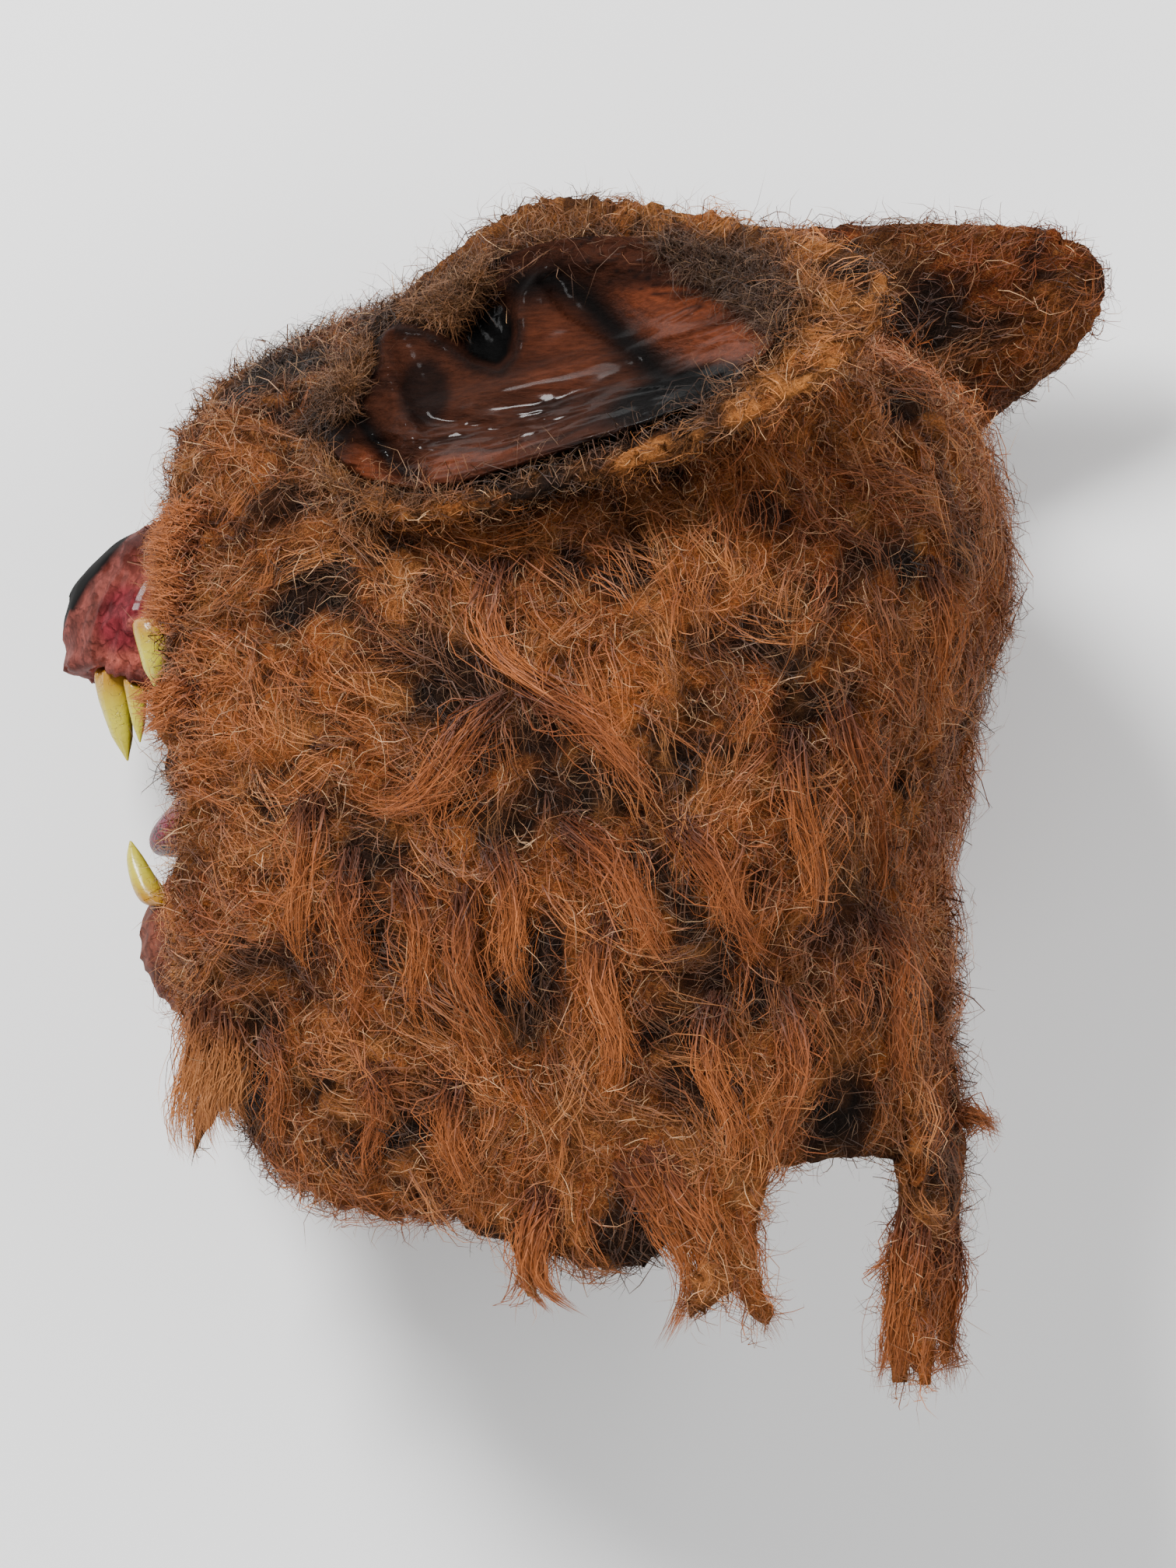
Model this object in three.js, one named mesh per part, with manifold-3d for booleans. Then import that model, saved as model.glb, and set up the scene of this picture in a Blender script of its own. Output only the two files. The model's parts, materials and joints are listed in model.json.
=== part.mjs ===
// A wolf mask that is pulled over the head: a hollow moulded latex head with an open mouth, glued-in
// teeth and a tongue, two latex ears, and brown fur over all but the snout and the inside of the ears.
// It lies on its right side, as a loose mask does. All lengths are in millimetres.
// In the head's own frame x points to the nape, y to the crown and z to the mask's left.
import * as THREE from "three";
import { mergeVertices } from "three/addons/utils/BufferGeometryUtils.js";
import Module from "manifold-3d";

const wasm = await Module();
wasm.setup();

const { degToRad, lerp, clamp, smoothstep } = THREE.MathUtils;

// Driving dimensions
const NOSE_DIP = degToRad(20); // how far the muzzle is turned down towards what the mask lies on
const SINK = 9; // depth to which the fur of the lower side is pressed flat
const GAP = 0.4; // between pieces that touch
const SECTION_POWER = 2.6; // 2 is an ellipse, more is boxier cheeks
const LATEX_WALL = 3;
const FUR_DEPTH = 18;
const FUR_DEPTH_BROW = 10;

const DOME_BASE = 85; // height at which the crown's dome starts
const CROWN = 172;
const DOME_POWER = 2.1;
const DOME_SHARE = 0.42; // of the way from crown to hem

// The furred head seen from its left, as it lies: front and back edge, and half its width
const HEAD_STATIONS = [
  { y: DOME_BASE, front: -141, back: 140, side: 105 },
  { y: 45, front: -144, back: 137, side: 110 },
  { y: 10, front: -139, back: 125, side: 112 },
  { y: -35, front: -138, back: 121, side: 107 },
  { y: -75, front: -137, back: 122, side: 98 },
  { y: -115, front: -111, back: 124, side: 91 },
  { y: -165, front: -84, back: 120, side: 86 },
];

// The hem's height by the angle from the nape, on the left (positive angles) and on the right, which is
// pushed up where the mask lies on it
const HEM_STATIONS = [
  { angle: -180, y: -112 },
  { angle: -150, y: -121 },
  { angle: -110, y: -125 },
  { angle: -70, y: -114 },
  { angle: -30, y: -113 },
  { angle: 0, y: -117 },
  { angle: 40, y: -116 },
  { angle: 53, y: -124 },
  { angle: 62, y: -145 },
  { angle: 70, y: -152 },
  { angle: 90, y: -144 },
  { angle: 120, y: -136 },
  { angle: 150, y: -127 },
  { angle: 180, y: -112 },
];

const AROUND = 44; // columns of the head's surfaces
const FUR_ROWS = 22;
const SHELL_ROWS = 6;
const LATEX_END = 0.94; // share of the way from crown to hem at which the latex ends

// Locks of the long fur
const LOCK_COLUMNS = 2; // mesh columns to a lock
const LOCK_ROWS = 4;
const LOCK_RELIEF = 11;

// Face
const SNOUT = { at: [-130, 51, 0], radii: [51, 41, 38] };
const NOSE = { at: [-169, 62, 0], radii: [11, 12, 16] };
const LIP = { at: [-150, 54, 0], radii: [26, 11, 33] };
const FRONT_LIP = { at: [-168, 49, 0], radii: [11, 12, 22] };
const JAW = { at: [-115, -48, 0], radii: [39, 32, 33] };
const MOUTH = { at: [-154, 9, 0], radii: [76, 34, 45] };
const LIP_ARCH = { at: [-160, 20, 0], radii: [34, 24, 60] }; // lifts the upper lip off the fangs
const EYE = { y: 91, z: 33, radius: 9, furRadius: 13, turn: 0.35 };
const FACE_OPENING = { y: 22, halfHeight: 82, halfWidth: 52 };

const LATEX_COLOUR = 0x6e3723;
const FUR_COLOUR = 0x9c5426;
const TOOTH_COLOUR = 0xcdc85a;
const TONGUE_COLOUR = 0x963c50;

const latexMaterial = new THREE.MeshStandardMaterial({
  color: LATEX_COLOUR,
  roughness: 0.35,
  metalness: 0,
});
const furMaterial = new THREE.MeshStandardMaterial({
  color: FUR_COLOUR,
  roughness: 0.95,
  metalness: 0,
});
const toothMaterial = new THREE.MeshStandardMaterial({
  color: TOOTH_COLOUR,
  roughness: 0.25,
  metalness: 0,
});
const tongueMaterial = new THREE.MeshStandardMaterial({
  color: TONGUE_COLOUR,
  roughness: 0.3,
  metalness: 0,
});

// A closed geometry as a solid
function solidOf(geometry) {
  const bare = geometry.clone();
  bare.deleteAttribute("normal");
  bare.deleteAttribute("uv");
  const merged = mergeVertices(bare, 1e-3);
  const triangles = [];
  const index = merged.index.array;
  for (let i = 0; i < index.length; i += 3) {
    const [a, b, c] = [index[i], index[i + 1], index[i + 2]];
    if (a !== b && b !== c && c !== a) triangles.push(a, b, c);
  }
  const solid = (triVerts) =>
    new wasm.Manifold(
      new wasm.Mesh({
        numProp: 3,
        vertProperties: new Float32Array(merged.attributes.position.array),
        triVerts: new Uint32Array(triVerts),
      }),
    );
  const made = solid(triangles);
  return made.volume() > 0 ? made : solid(triangles.reverse());
}

function namedMesh(name, solid, material) {
  const { vertProperties, triVerts } = solid.getMesh();
  const geometry = new THREE.BufferGeometry();
  geometry.setAttribute("position", new THREE.BufferAttribute(vertProperties, 3));
  geometry.setIndex(new THREE.BufferAttribute(triVerts, 1));
  const flat = geometry.toNonIndexed();
  flat.computeVertexNormals();
  const mesh = new THREE.Mesh(flat, material);
  mesh.name = name;
  return mesh;
}

// Moves every vertex of a geometry to shape(vertex)
function shaped(geometry, shape) {
  const position = geometry.attributes.position;
  const point = new THREE.Vector3();
  for (let i = 0; i < position.count; i += 1) {
    point.fromBufferAttribute(position, i);
    const moved = shape(point);
    position.setXYZ(i, moved.x, moved.y, moved.z);
  }
  return geometry;
}

function catmullRom(before, a, b, after, share) {
  const pull = 2 * before - 5 * a + 4 * b - after;
  const twist = 3 * a - before - 3 * b + after;
  return 0.5 * (2 * a + (b - before) * share + pull * share ** 2 + twist * share ** 3);
}

// The value of a list of stations at any place along its key, smooth from one station to the next
function along(stations, key, at, value) {
  const last = stations.length - 1;
  const way = Math.sign(stations[last][key] - stations[0][key]);
  const found = stations.findIndex((station) => way * station[key] >= way * at);
  if (found === 0) return stations[0][value];
  if (found < 0) return stations[last][value];
  const [a, b] = [stations[found - 1], stations[found]];
  const before = stations[Math.max(found - 2, 0)];
  const after = stations[Math.min(found + 1, last)];
  const share = (at - a[key]) / (b[key] - a[key]);
  return catmullRom(before[value], a[value], b[value], after[value], share);
}

// A number from 0 to 1 that looks random and is the same every time
function scatter(a, b = 0) {
  const wave = Math.sin(a * 127.1 + b * 311.7 + 4.3) * 43758.5453;
  return wave - Math.floor(wave);
}

// The head's level section at a height: its middle, and half its length and width
function sectionAt(y) {
  const at = Math.min(y, DOME_BASE);
  const front = along(HEAD_STATIONS, "y", at, "front");
  const back = along(HEAD_STATIONS, "y", at, "back");
  const side = along(HEAD_STATIONS, "y", at, "side");
  // Seen at an angle, a section is as wide as its tangents, which this undoes
  const power = SECTION_POWER / (SECTION_POWER - 1);
  const seen = ((back - front) / 2) ** power - (side * Math.sin(NOSE_DIP)) ** power;
  return {
    middle: (front + back) / 2 / Math.cos(NOSE_DIP),
    long: seen ** (1 / power) / Math.cos(NOSE_DIP),
    side,
  };
}

function hemHeight(angle) {
  const turned = Math.atan2(Math.sin(angle), Math.cos(angle));
  return along(HEM_STATIONS, "angle", THREE.MathUtils.radToDeg(turned), "y");
}

function furDepth(angle, y) {
  const forward = smoothstep(-Math.cos(angle), 0.1, 0.8);
  const onBrow = smoothstep(y, 60, 110) * (1 - smoothstep(y, 145, 166));
  return lerp(FUR_DEPTH, FUR_DEPTH_BROW, forward * onBrow);
}

// A point of the head's surface. share runs from the crown (0) to the hem (1), and inset is the depth
// below the fur's envelope.
function headPoint(share, angle, inset) {
  let y;
  let round = 1;
  if (share < DOME_SHARE) {
    const turn = (share / DOME_SHARE) * (Math.PI / 2);
    const rise = Math.cos(turn) ** (2 / DOME_POWER);
    round = Math.sin(turn) ** (2 / DOME_POWER);
    y = DOME_BASE + rise * (CROWN - DOME_BASE - inset);
  } else {
    const down = (share - DOME_SHARE) / (1 - DOME_SHARE);
    y = lerp(DOME_BASE, hemHeight(angle), down);
  }
  const section = sectionAt(y);
  const lengthwise = (Math.abs(Math.cos(angle)) / section.long) ** SECTION_POWER;
  const crosswise = (Math.abs(Math.sin(angle)) / section.side) ** SECTION_POWER;
  const full = (lengthwise + crosswise) ** (-1 / SECTION_POWER);
  const radius = round * (full - inset);
  return new THREE.Vector3(
    section.middle + radius * Math.cos(angle),
    y,
    radius * Math.sin(angle),
  );
}

// How far a point of the fur lies below its envelope: strands of overlapping locks, each low at its root
// and proud at its tip, with grooves between the strands
function lockDepth(column, row) {
  const strand = Math.floor(column / LOCK_COLUMNS);
  const staggered = row + Math.floor(LOCK_ROWS * scatter(strand, 2));
  const lock = Math.floor(staggered / LOCK_ROWS);
  const root = [1, 0.5, 0.15, 0][staggered % LOCK_ROWS];
  const groove = column % LOCK_COLUMNS === 0 ? 0.55 + 0.45 * scatter(strand, lock + 20) : 0;
  const fullness = 0.6 + 0.4 * scatter(strand, lock);
  return LOCK_RELIEF * fullness * Math.max(groove, root);
}

// A round blank with an upper and a lower layer, whose radius is the share of the way to the hem
function blank(upperShares, lowerShares, columns) {
  const upper = upperShares.map((share) => new THREE.Vector2(share, 1));
  const lower = lowerShares.map((share) => new THREE.Vector2(share, 0)).reverse();
  return new THREE.LatheGeometry([...upper, ...lower], columns);
}

const evenShares = (count, end) => Array.from({ length: count + 1 }, (_, i) => (i / count) * end);
const SHELL_SHARES = evenShares(SHELL_ROWS, LATEX_END);

function polar(point) {
  return { share: Math.hypot(point.x, point.z), angle: Math.atan2(point.z, point.x) };
}

// The pelt over crown, cheeks and throat, with its locks
function pelt() {
  const inner = [...SHELL_SHARES, 1];
  const geometry = blank(evenShares(FUR_ROWS, 1), inner, AROUND);
  return solidOf(
    shaped(geometry, (point) => {
      const { share, angle } = polar(point);
      const outward = headPoint(share, angle, 0);
      const depth = furDepth(angle, outward.y);
      if (point.y < 0.5) return headPoint(share, angle, depth);
      const turns = angle / (2 * Math.PI) + 1;
      const column = Math.round(turns * AROUND) % AROUND;
      const row = Math.round(share * FUR_ROWS);
      const short = depth / FUR_DEPTH;
      const calm = smoothstep(share, 0.03, 0.15) * short ** 2;
      const thinning = 8 * smoothstep(share, 0.93, 1);
      const sway = 0.06 * Math.sin(row * 0.8 + angle * 3);
      const swayed = angle + sway * smoothstep(share, 0.15, 0.4) * (1 - smoothstep(share, 0.8, 1));
      return headPoint(share, swayed, calm * lockDepth(column, row) + thinning);
    }),
  );
}

// The latex head without its face, as a full solid
const HEAD_INNER_COLUMNS = 18;
const HEAD_INNER_ROWS = 5;
const PAST_THE_NECK = -230;
const NECK_END = -100;
function fullHead(shares, columns, extra, bottom) {
  return solidOf(
    shaped(blank([0], shares, columns), (point) => {
      const { share, angle } = polar(point);
      if (point.y > 0.5) return new THREE.Vector3(0, bottom, 0);
      const depth = furDepth(angle, headPoint(share, angle, 0).y);
      return headPoint(share, angle, depth + extra);
    }),
  );
}

function ball({ at, radii }, extra = 0, columns = 14, rows = 8) {
  const [x, y, z] = radii.map((radius) => radius + extra);
  return solidOf(
    new THREE.SphereGeometry(1, columns, rows)
      .rotateZ(Math.PI / 2)
      .scale(x, y, z)
      .translate(...at),
  );
}

const union = (solids) => solids.reduce((sum, solid) => sum.add(solid));

function eyeHole(side, radius = EYE.radius) {
  const hole = new THREE.CylinderGeometry(radius, radius, 90, 12)
    .rotateZ(Math.PI / 2)
    .rotateY(side * EYE.turn)
    .translate(-125, EYE.y, side * EYE.z);
  return solidOf(hole);
}

const MOUTH_LINING = ball(MOUTH, LATEX_WALL);
function latexHead() {
  const outer = union([
    fullHead(SHELL_SHARES, AROUND, GAP, NECK_END),
    ball(SNOUT, 0, 18, 10),
    ball(NOSE, 0, 12, 6),
    ...[LIP, JAW].map((part) => ball(part)),
  ]);
  const innerShares = evenShares(HEAD_INNER_ROWS, 1.02);
  const hollow = union([
    fullHead(innerShares, HEAD_INNER_COLUMNS, GAP + LATEX_WALL, PAST_THE_NECK),
    ball(SNOUT, -LATEX_WALL, 10, 6),
    ball(JAW, -LATEX_WALL, 10, 6),
  ])
    .subtract(MOUTH_LINING)
    .subtract(ball(LIP_ARCH, LATEX_WALL));
  const holes = [ball(MOUTH), ball(LIP_ARCH), eyeHole(1), eyeHole(-1)];
  const shell = holes.reduce((rest, hole) => rest.subtract(hole), outer.subtract(hollow));
  return shell.add(ball(FRONT_LIP));
}

// The opening of the fur round the face
function faceOpening() {
  const outline = new THREE.Shape();
  outline.absellipse(0, 0, FACE_OPENING.halfWidth, FACE_OPENING.halfHeight, 0, 2 * Math.PI);
  const depth = 160;
  const prism = new THREE.ExtrudeGeometry(outline, { depth, bevelEnabled: false, curveSegments: 14 })
    .rotateY(-Math.PI / 2)
    .translate(-60, FACE_OPENING.y, 0);
  return solidOf(prism);
}

// A tapering lock along a bent line of three points, with an oval section
function lock([from, bend, to], radius, flatness = 0.5, sides = 5, steps = 3) {
  const line = new THREE.QuadraticBezierCurve3(
    new THREE.Vector3(...from),
    new THREE.Vector3(...bend),
    new THREE.Vector3(...to),
  );
  const geometry = new THREE.CylinderGeometry(0.12, 1, 1, sides, steps).translate(0, 0.5, 0);
  return solidOf(
    shaped(geometry, (point) => {
      const share = clamp(point.y, 0, 1);
      const middle = line.getPoint(share);
      const ahead = line.getTangent(share);
      const outward = new THREE.Vector3(middle.x, 0, middle.z).normalize();
      const across = new THREE.Vector3().crossVectors(ahead, outward).normalize();
      const thick = new THREE.Vector3().crossVectors(across, ahead);
      return middle
        .addScaledVector(across, point.x * radius)
        .addScaledVector(thick, point.z * radius * flatness);
    }),
  );
}

// The point inside the pelt of the left side that shows at x, y in the view from the left
function peltPoint(x, y) {
  const section = sectionAt(y);
  let near = 0;
  let far = Math.PI - NOSE_DIP;
  let point;
  for (let i = 0; i < 24; i += 1) {
    const angle = (near + far) / 2;
    const lengthwise = (Math.abs(Math.cos(angle)) / section.long) ** SECTION_POWER;
    const crosswise = (Math.abs(Math.sin(angle)) / section.side) ** SECTION_POWER;
    const radius = (lengthwise + crosswise) ** (-1 / SECTION_POWER) - FUR_DEPTH / 2;
    point = [section.middle + radius * Math.cos(angle), y, radius * Math.sin(angle)];
    const seen = point[0] * Math.cos(NOSE_DIP) - point[2] * Math.sin(NOSE_DIP);
    if (seen > x) near = angle;
    else far = angle;
  }
  return point;
}

// Locks that hang below the hem of the left side, by their places in the view from the left
const HANGING_LOCKS = [
  { from: [-22, -128], bend: [-20, -152], to: [-10, -163], radius: 8 },
  { from: [-6, -132], bend: [-2, -150], to: [-3, -161], radius: 6 },
  { from: [44, -112], bend: [47, -148], to: [23, -170], radius: 14 },
  { from: [50, -110], bend: [44, -152], to: [58, -168], radius: 12 },
];

function leftLock({ from, bend, to, radius }) {
  return lock([peltPoint(...from), peltPoint(...bend), peltPoint(...to)], radius);
}

// The flat matted lock at the chin
function chinLock() {
  return lock([[-112, -62, 22], [-119, -92, 24], [-129, -122, 22]], 17, 0.85);
}

// The same lock on the other side of the head
const mirrored = (solid) => solid.mirror([0, 0, 1]);

// The strip of fur that hangs at the nape
const NAPE_STRIP = { top: -70, bottom: -152, halfWidth: 30, thickness: 12, tipsEnd: -191 };
function napeStrip() {
  const { top, bottom, halfWidth, thickness, tipsEnd } = NAPE_STRIP;
  const height = top - bottom;
  const geometry = new THREE.BoxGeometry(thickness, height, 2 * halfWidth, 1, 5, 6);
  const strip = solidOf(
    shaped(geometry, (point) => {
      const y = point.y + (top + bottom) / 2;
      const section = sectionAt(y);
      const curve = (point.z / section.side) ** 2 * 34;
      const wave = point.x > 0 ? 1.5 * Math.cos(point.z * 0.42 + y * 0.05) : 0;
      const narrow = 1 - 0.16 * smoothstep(-y, -top, -bottom);
      const sunk = 8 * (1 - smoothstep(top - y, 0, 26)) - 2;
      const back = section.middle + section.long - thickness / 2 - sunk;
      return new THREE.Vector3(back + point.x + wave - curve, y, point.z * narrow);
    }),
  );
  const back = sectionAt(bottom).middle + sectionAt(bottom).long - 8;
  const tips = [-18, -6, 7, 19].map((z, i) => {
    const end = tipsEnd + 7 * scatter(i, 3);
    const lean = i % 2 ? 7 : -6;
    return lock(
      [[back, bottom + 16, z], [back + lean, bottom - 12, z * 1.1], [back + lean, end, z * 0.85]],
      8,
      0.9,
    );
  });
  return union([strip, ...tips]);
}

// An ear's own frame: its lower corner at the head, its tip, and the way its inner side faces
const EAR = {
  start: [-52, 118, 92],
  tip: [103, 144, 105],
  across: [0, 0.83, -0.55],
  halfWidth: 48,
  cup: 16,
};
const FAR_EAR = { startLift: -15, tipLift: 19, stretch: 6 }; // how the right ear's bend differs
const EAR_FUR = { before: 0.06, after: 0.22, rim: 17, back: 15, front: 7, crest: 13 };

function earFrame({ startLift, tipLift, stretch }) {
  const start = new THREE.Vector3(...EAR.start).add(new THREE.Vector3(0, startLift, 0));
  const tip = new THREE.Vector3(...EAR.tip).add(new THREE.Vector3(stretch, tipLift, 0));
  const ahead = new THREE.Vector3().subVectors(tip, start);
  const length = ahead.length();
  ahead.normalize();
  const out = new THREE.Vector3().crossVectors(ahead, new THREE.Vector3(...EAR.across)).normalize();
  const across = new THREE.Vector3().crossVectors(out, ahead);
  return { start, ahead, across, out, length };
}

// A leaf-shaped solid in the ear's frame, from one share of its length to another
function leaf(frame, { from, to, halfWidth, back, front, crest = 0 }, columns, rows) {
  const geometry = new THREE.SphereGeometry(1, columns, rows);
  return solidOf(
    shaped(geometry, (point) => {
      const local = (point.y + 1) / 2;
      const share = lerp(from, to, local);
      const within = clamp(share, 0, 1);
      const tuft = point.x > 0 ? crest * Math.exp(-(((share - 0.36) / 0.22) ** 2)) : 0;
      const width = halfWidth * (1.06 - 0.36 * within) + tuft;
      const depth = EAR.cup * Math.sin(Math.PI * clamp(share, 0.03, 0.97)) * (1 - point.x ** 2);
      const offFold = (point.x + 0.25 - 0.5 * within) / 0.16;
      const crease = 4 * Math.exp(-(offFold ** 2)) * Math.sin(Math.PI * within);
      const wall = point.z > 0 ? point.z * front : point.z * back;
      const bow = 7 * Math.sin(Math.PI * within);
      return frame.start
        .clone()
        .addScaledVector(frame.ahead, share * frame.length)
        .addScaledVector(frame.across, point.x * width + bow)
        .addScaledVector(frame.out, wall - depth + crease);
    }),
  );
}

const EAR_LATEX_WALL = 2;
function earSolids(side) {
  const frame = earFrame(side > 0 ? { startLift: 0, tipLift: 0, stretch: 0 } : FAR_EAR);
  const shell = { from: 0, to: 1, halfWidth: EAR.halfWidth, back: EAR_LATEX_WALL, front: EAR_LATEX_WALL };
  const room = {
    from: -0.004,
    to: 1.004,
    halfWidth: EAR.halfWidth + GAP,
    back: EAR_LATEX_WALL + GAP + 0.3,
    front: 60,
  };
  const coat = {
    from: -EAR_FUR.before,
    to: 1 + EAR_FUR.after,
    halfWidth: EAR.halfWidth + EAR_FUR.rim,
    back: EAR_FUR.back,
    front: EAR_FUR.front,
    crest: EAR_FUR.crest,
  };
  const latex = leaf(frame, shell, 12, 10);
  const fur = leaf(frame, coat, 14, 12).subtract(leaf(frame, room, 12, 10));
  const seat = { ...coat, back: coat.back + GAP, front: coat.front + GAP, halfWidth: coat.halfWidth + GAP };
  const socket = leaf(frame, seat, 14, 12).add(leaf(frame, room, 12, 10));
  const turn = side > 0 ? (solid) => solid : mirrored;
  return { latex: turn(latex), fur: turn(fur), socket: turn(socket) };
}

// A curved tooth from the middle of its root to its tip
function tooth(root, tip, radius, bend, sides = 6, steps = 2) {
  const start = new THREE.Vector3(...root);
  const end = new THREE.Vector3(...tip);
  const middle = new THREE.Vector3().lerpVectors(start, end, 0.5).add(new THREE.Vector3(bend, 0, 0));
  const line = new THREE.QuadraticBezierCurve3(start, middle, end);
  const geometry = new THREE.CylinderGeometry(0.12, 1, 1, sides, steps).translate(0, 0.5, 0);
  return solidOf(
    shaped(geometry, (point) => {
      const share = clamp(point.y, 0, 1);
      const taper = share < 0.9 ? Math.sqrt(1 - share * 0.85) / Math.max(1 - share, 0.25) : 1;
      const centre = line.getPoint(share);
      const width = radius * Math.min(taper, 1.25);
      return new THREE.Vector3(centre.x + point.x * width, centre.y, centre.z + point.z * width);
    }),
  );
}

// Teeth of the left side: root and tip in the head's frame, radius at the root and bend
const TEETH = {
  upper_fang: { root: [-157, 50, 21], tip: [-152, 11, 20], radius: 6.5, bend: -4 },
  upper_side_tooth: { root: [-146, 49, 27], tip: [-144, 17, 28], radius: 5, bend: -1 },
  upper_cheek_fang: { root: [-136, 57, 38], tip: [-134, 35, 39], radius: 6, bend: 2 },
  lower_fang: { root: [-141, -36, 21], tip: [-151, -15, 20], radius: 6, bend: -3 },
};

// The gums, which each tooth's root is fitted to
const gums = union([ball(SNOUT, GAP, 18, 10), ball(LIP, GAP), ball(JAW, GAP)])
  .subtract(ball(MOUTH, -GAP))
  .subtract(ball(LIP_ARCH, -GAP))
  .add(ball(FRONT_LIP, GAP));

const TONGUE = { at: [-121, -4, 0], radii: [34, 12, 23], slope: degToRad(23) };
function tongue() {
  const [long, high, wide] = TONGUE.radii;
  const geometry = new THREE.SphereGeometry(1, 14, 8).rotateZ(Math.PI / 2);
  const whole = solidOf(
    shaped(geometry, (point) => {
      const groove = point.y > 0 ? 2.5 * Math.exp(-((point.z / 0.25) ** 2)) : 0;
      return new THREE.Vector3(point.x * long, point.y * high - groove, point.z * wide);
    })
      .rotateZ(TONGUE.slope)
      .translate(...TONGUE.at),
  );
  return whole.intersect(ball(MOUTH, -GAP));
}

// What the mask lies on, in the head's frame: a slab whose upper side is the resting plane
function restingSlab(lowest) {
  const slab = new THREE.BoxGeometry(700, 700, 200).translate(0, 0, lowest + SINK - 100);
  return solidOf(slab.rotateY(NOSE_DIP));
}

// The lowest point of a solid once the muzzle is dipped
function lowestOf(solid) {
  const { vertProperties } = solid.getMesh();
  let lowest = Infinity;
  for (let i = 0; i < vertProperties.length; i += 3) {
    const height = vertProperties[i] * Math.sin(NOSE_DIP) + vertProperties[i + 2] * Math.cos(NOSE_DIP);
    lowest = Math.min(lowest, height);
  }
  return lowest;
}

const head = new THREE.Group();
const ears = { left: earSolids(1), right: earSolids(-1) };
const latex = latexHead();
const latexRoom = fullHead(SHELL_SHARES, AROUND, 0, NECK_END);

const hangingFur = union([napeStrip(), chinLock(), ...HANGING_LOCKS.map(leftLock)]);
const furCuts = [
  faceOpening(),
  eyeHole(1, EYE.furRadius),
  eyeHole(-1, EYE.furRadius),
  ball(JAW, GAP),
  ears.left.socket,
  ears.right.socket,
];
const wholePelt = pelt().add(hangingFur.subtract(latexRoom));
const wholeHood = furCuts.reduce((rest, cut) => rest.subtract(cut), wholePelt);
const lowest = lowestOf(wholeHood);
const slab = restingSlab(lowest);

head.add(namedMesh("latex_head", latex, latexMaterial));
head.add(namedMesh("fur_hood", wholeHood.subtract(slab), furMaterial));
for (const [name, ear] of Object.entries(ears)) {
  head.add(namedMesh(`${name}_ear`, ear.latex.subtract(latexRoom), latexMaterial));
  head.add(namedMesh(`${name}_ear_fur`, ear.fur.subtract(latexRoom).subtract(slab), furMaterial));
}
for (const [name, { root, tip, radius, bend }] of Object.entries(TEETH)) {
  const left = tooth(root, tip, radius, bend).subtract(gums);
  head.add(namedMesh(`${name}_left`, left, toothMaterial));
  head.add(namedMesh(`${name}_right`, mirrored(left), toothMaterial));
}
head.add(namedMesh("tongue", tongue(), tongueMaterial));

head.rotation.y = -NOSE_DIP;
head.position.z = -(lowest + SINK);

// The origin is below the middle of the whole mask, on what it lies on
const mask = new THREE.Group();
mask.add(head);
mask.updateMatrixWorld(true);
const box = new THREE.Box3().setFromObject(mask, true);
head.position.x -= (box.min.x + box.max.x) / 2;
head.position.y -= (box.min.y + box.max.y) / 2;
mask.updateMatrixWorld(true);

export default mask;
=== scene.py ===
# %% [markdown]
# A wolf mask of moulded latex and glued fur, which lies on its right side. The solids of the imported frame
# give each piece its place and size, and the cells below dress them: fur grown as thousands of thin
# ribbons over a dark backing, a leathery ear, a wet-looking muzzle, teeth and a tongue.
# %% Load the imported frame
import json
import math

import bpy
import numpy as np
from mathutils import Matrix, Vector, kdtree
from mathutils.bvhtree import BVHTree

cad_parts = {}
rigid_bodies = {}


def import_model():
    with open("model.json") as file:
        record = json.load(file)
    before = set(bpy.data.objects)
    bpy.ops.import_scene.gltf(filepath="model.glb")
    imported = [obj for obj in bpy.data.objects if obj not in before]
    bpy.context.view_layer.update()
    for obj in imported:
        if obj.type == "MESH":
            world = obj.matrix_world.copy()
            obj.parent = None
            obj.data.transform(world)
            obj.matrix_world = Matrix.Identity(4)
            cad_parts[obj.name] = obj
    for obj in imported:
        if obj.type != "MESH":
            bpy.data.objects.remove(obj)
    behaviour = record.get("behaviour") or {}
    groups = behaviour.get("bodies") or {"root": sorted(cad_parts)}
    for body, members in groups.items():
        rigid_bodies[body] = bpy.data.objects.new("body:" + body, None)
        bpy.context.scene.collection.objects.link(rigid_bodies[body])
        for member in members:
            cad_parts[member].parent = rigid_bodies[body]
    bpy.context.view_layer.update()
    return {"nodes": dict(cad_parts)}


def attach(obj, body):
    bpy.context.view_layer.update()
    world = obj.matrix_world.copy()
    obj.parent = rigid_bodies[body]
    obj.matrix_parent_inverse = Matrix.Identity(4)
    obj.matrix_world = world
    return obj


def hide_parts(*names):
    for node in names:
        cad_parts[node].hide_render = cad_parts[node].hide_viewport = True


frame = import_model()
NODES = frame["nodes"]
print("nodes:", len(NODES))

# %% [markdown]
# The mask's own axes are turned against the world's, because it lies with its muzzle dipped. Points are
# easier to think about as "towards the nape, towards the crown, towards the mask's left", so two small
# functions change between the two ways of giving a place.
# %% The mask's own frame
MM = 0.001
DIP = math.radians(20)
HEAD_AT = np.array([-1.25, -0.52, 113.55]) * MM
BACK = np.array([math.cos(DIP), 0, math.sin(DIP)])
UP = np.array([0.0, 1.0, 0.0])
LEFT = np.array([-math.sin(DIP), 0, math.cos(DIP)])
AXES = np.stack([BACK, UP, LEFT])


def to_head(points):
    return (points - HEAD_AT) @ AXES.T


def to_world(points):
    return np.asarray(points) @ AXES + HEAD_AT


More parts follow.
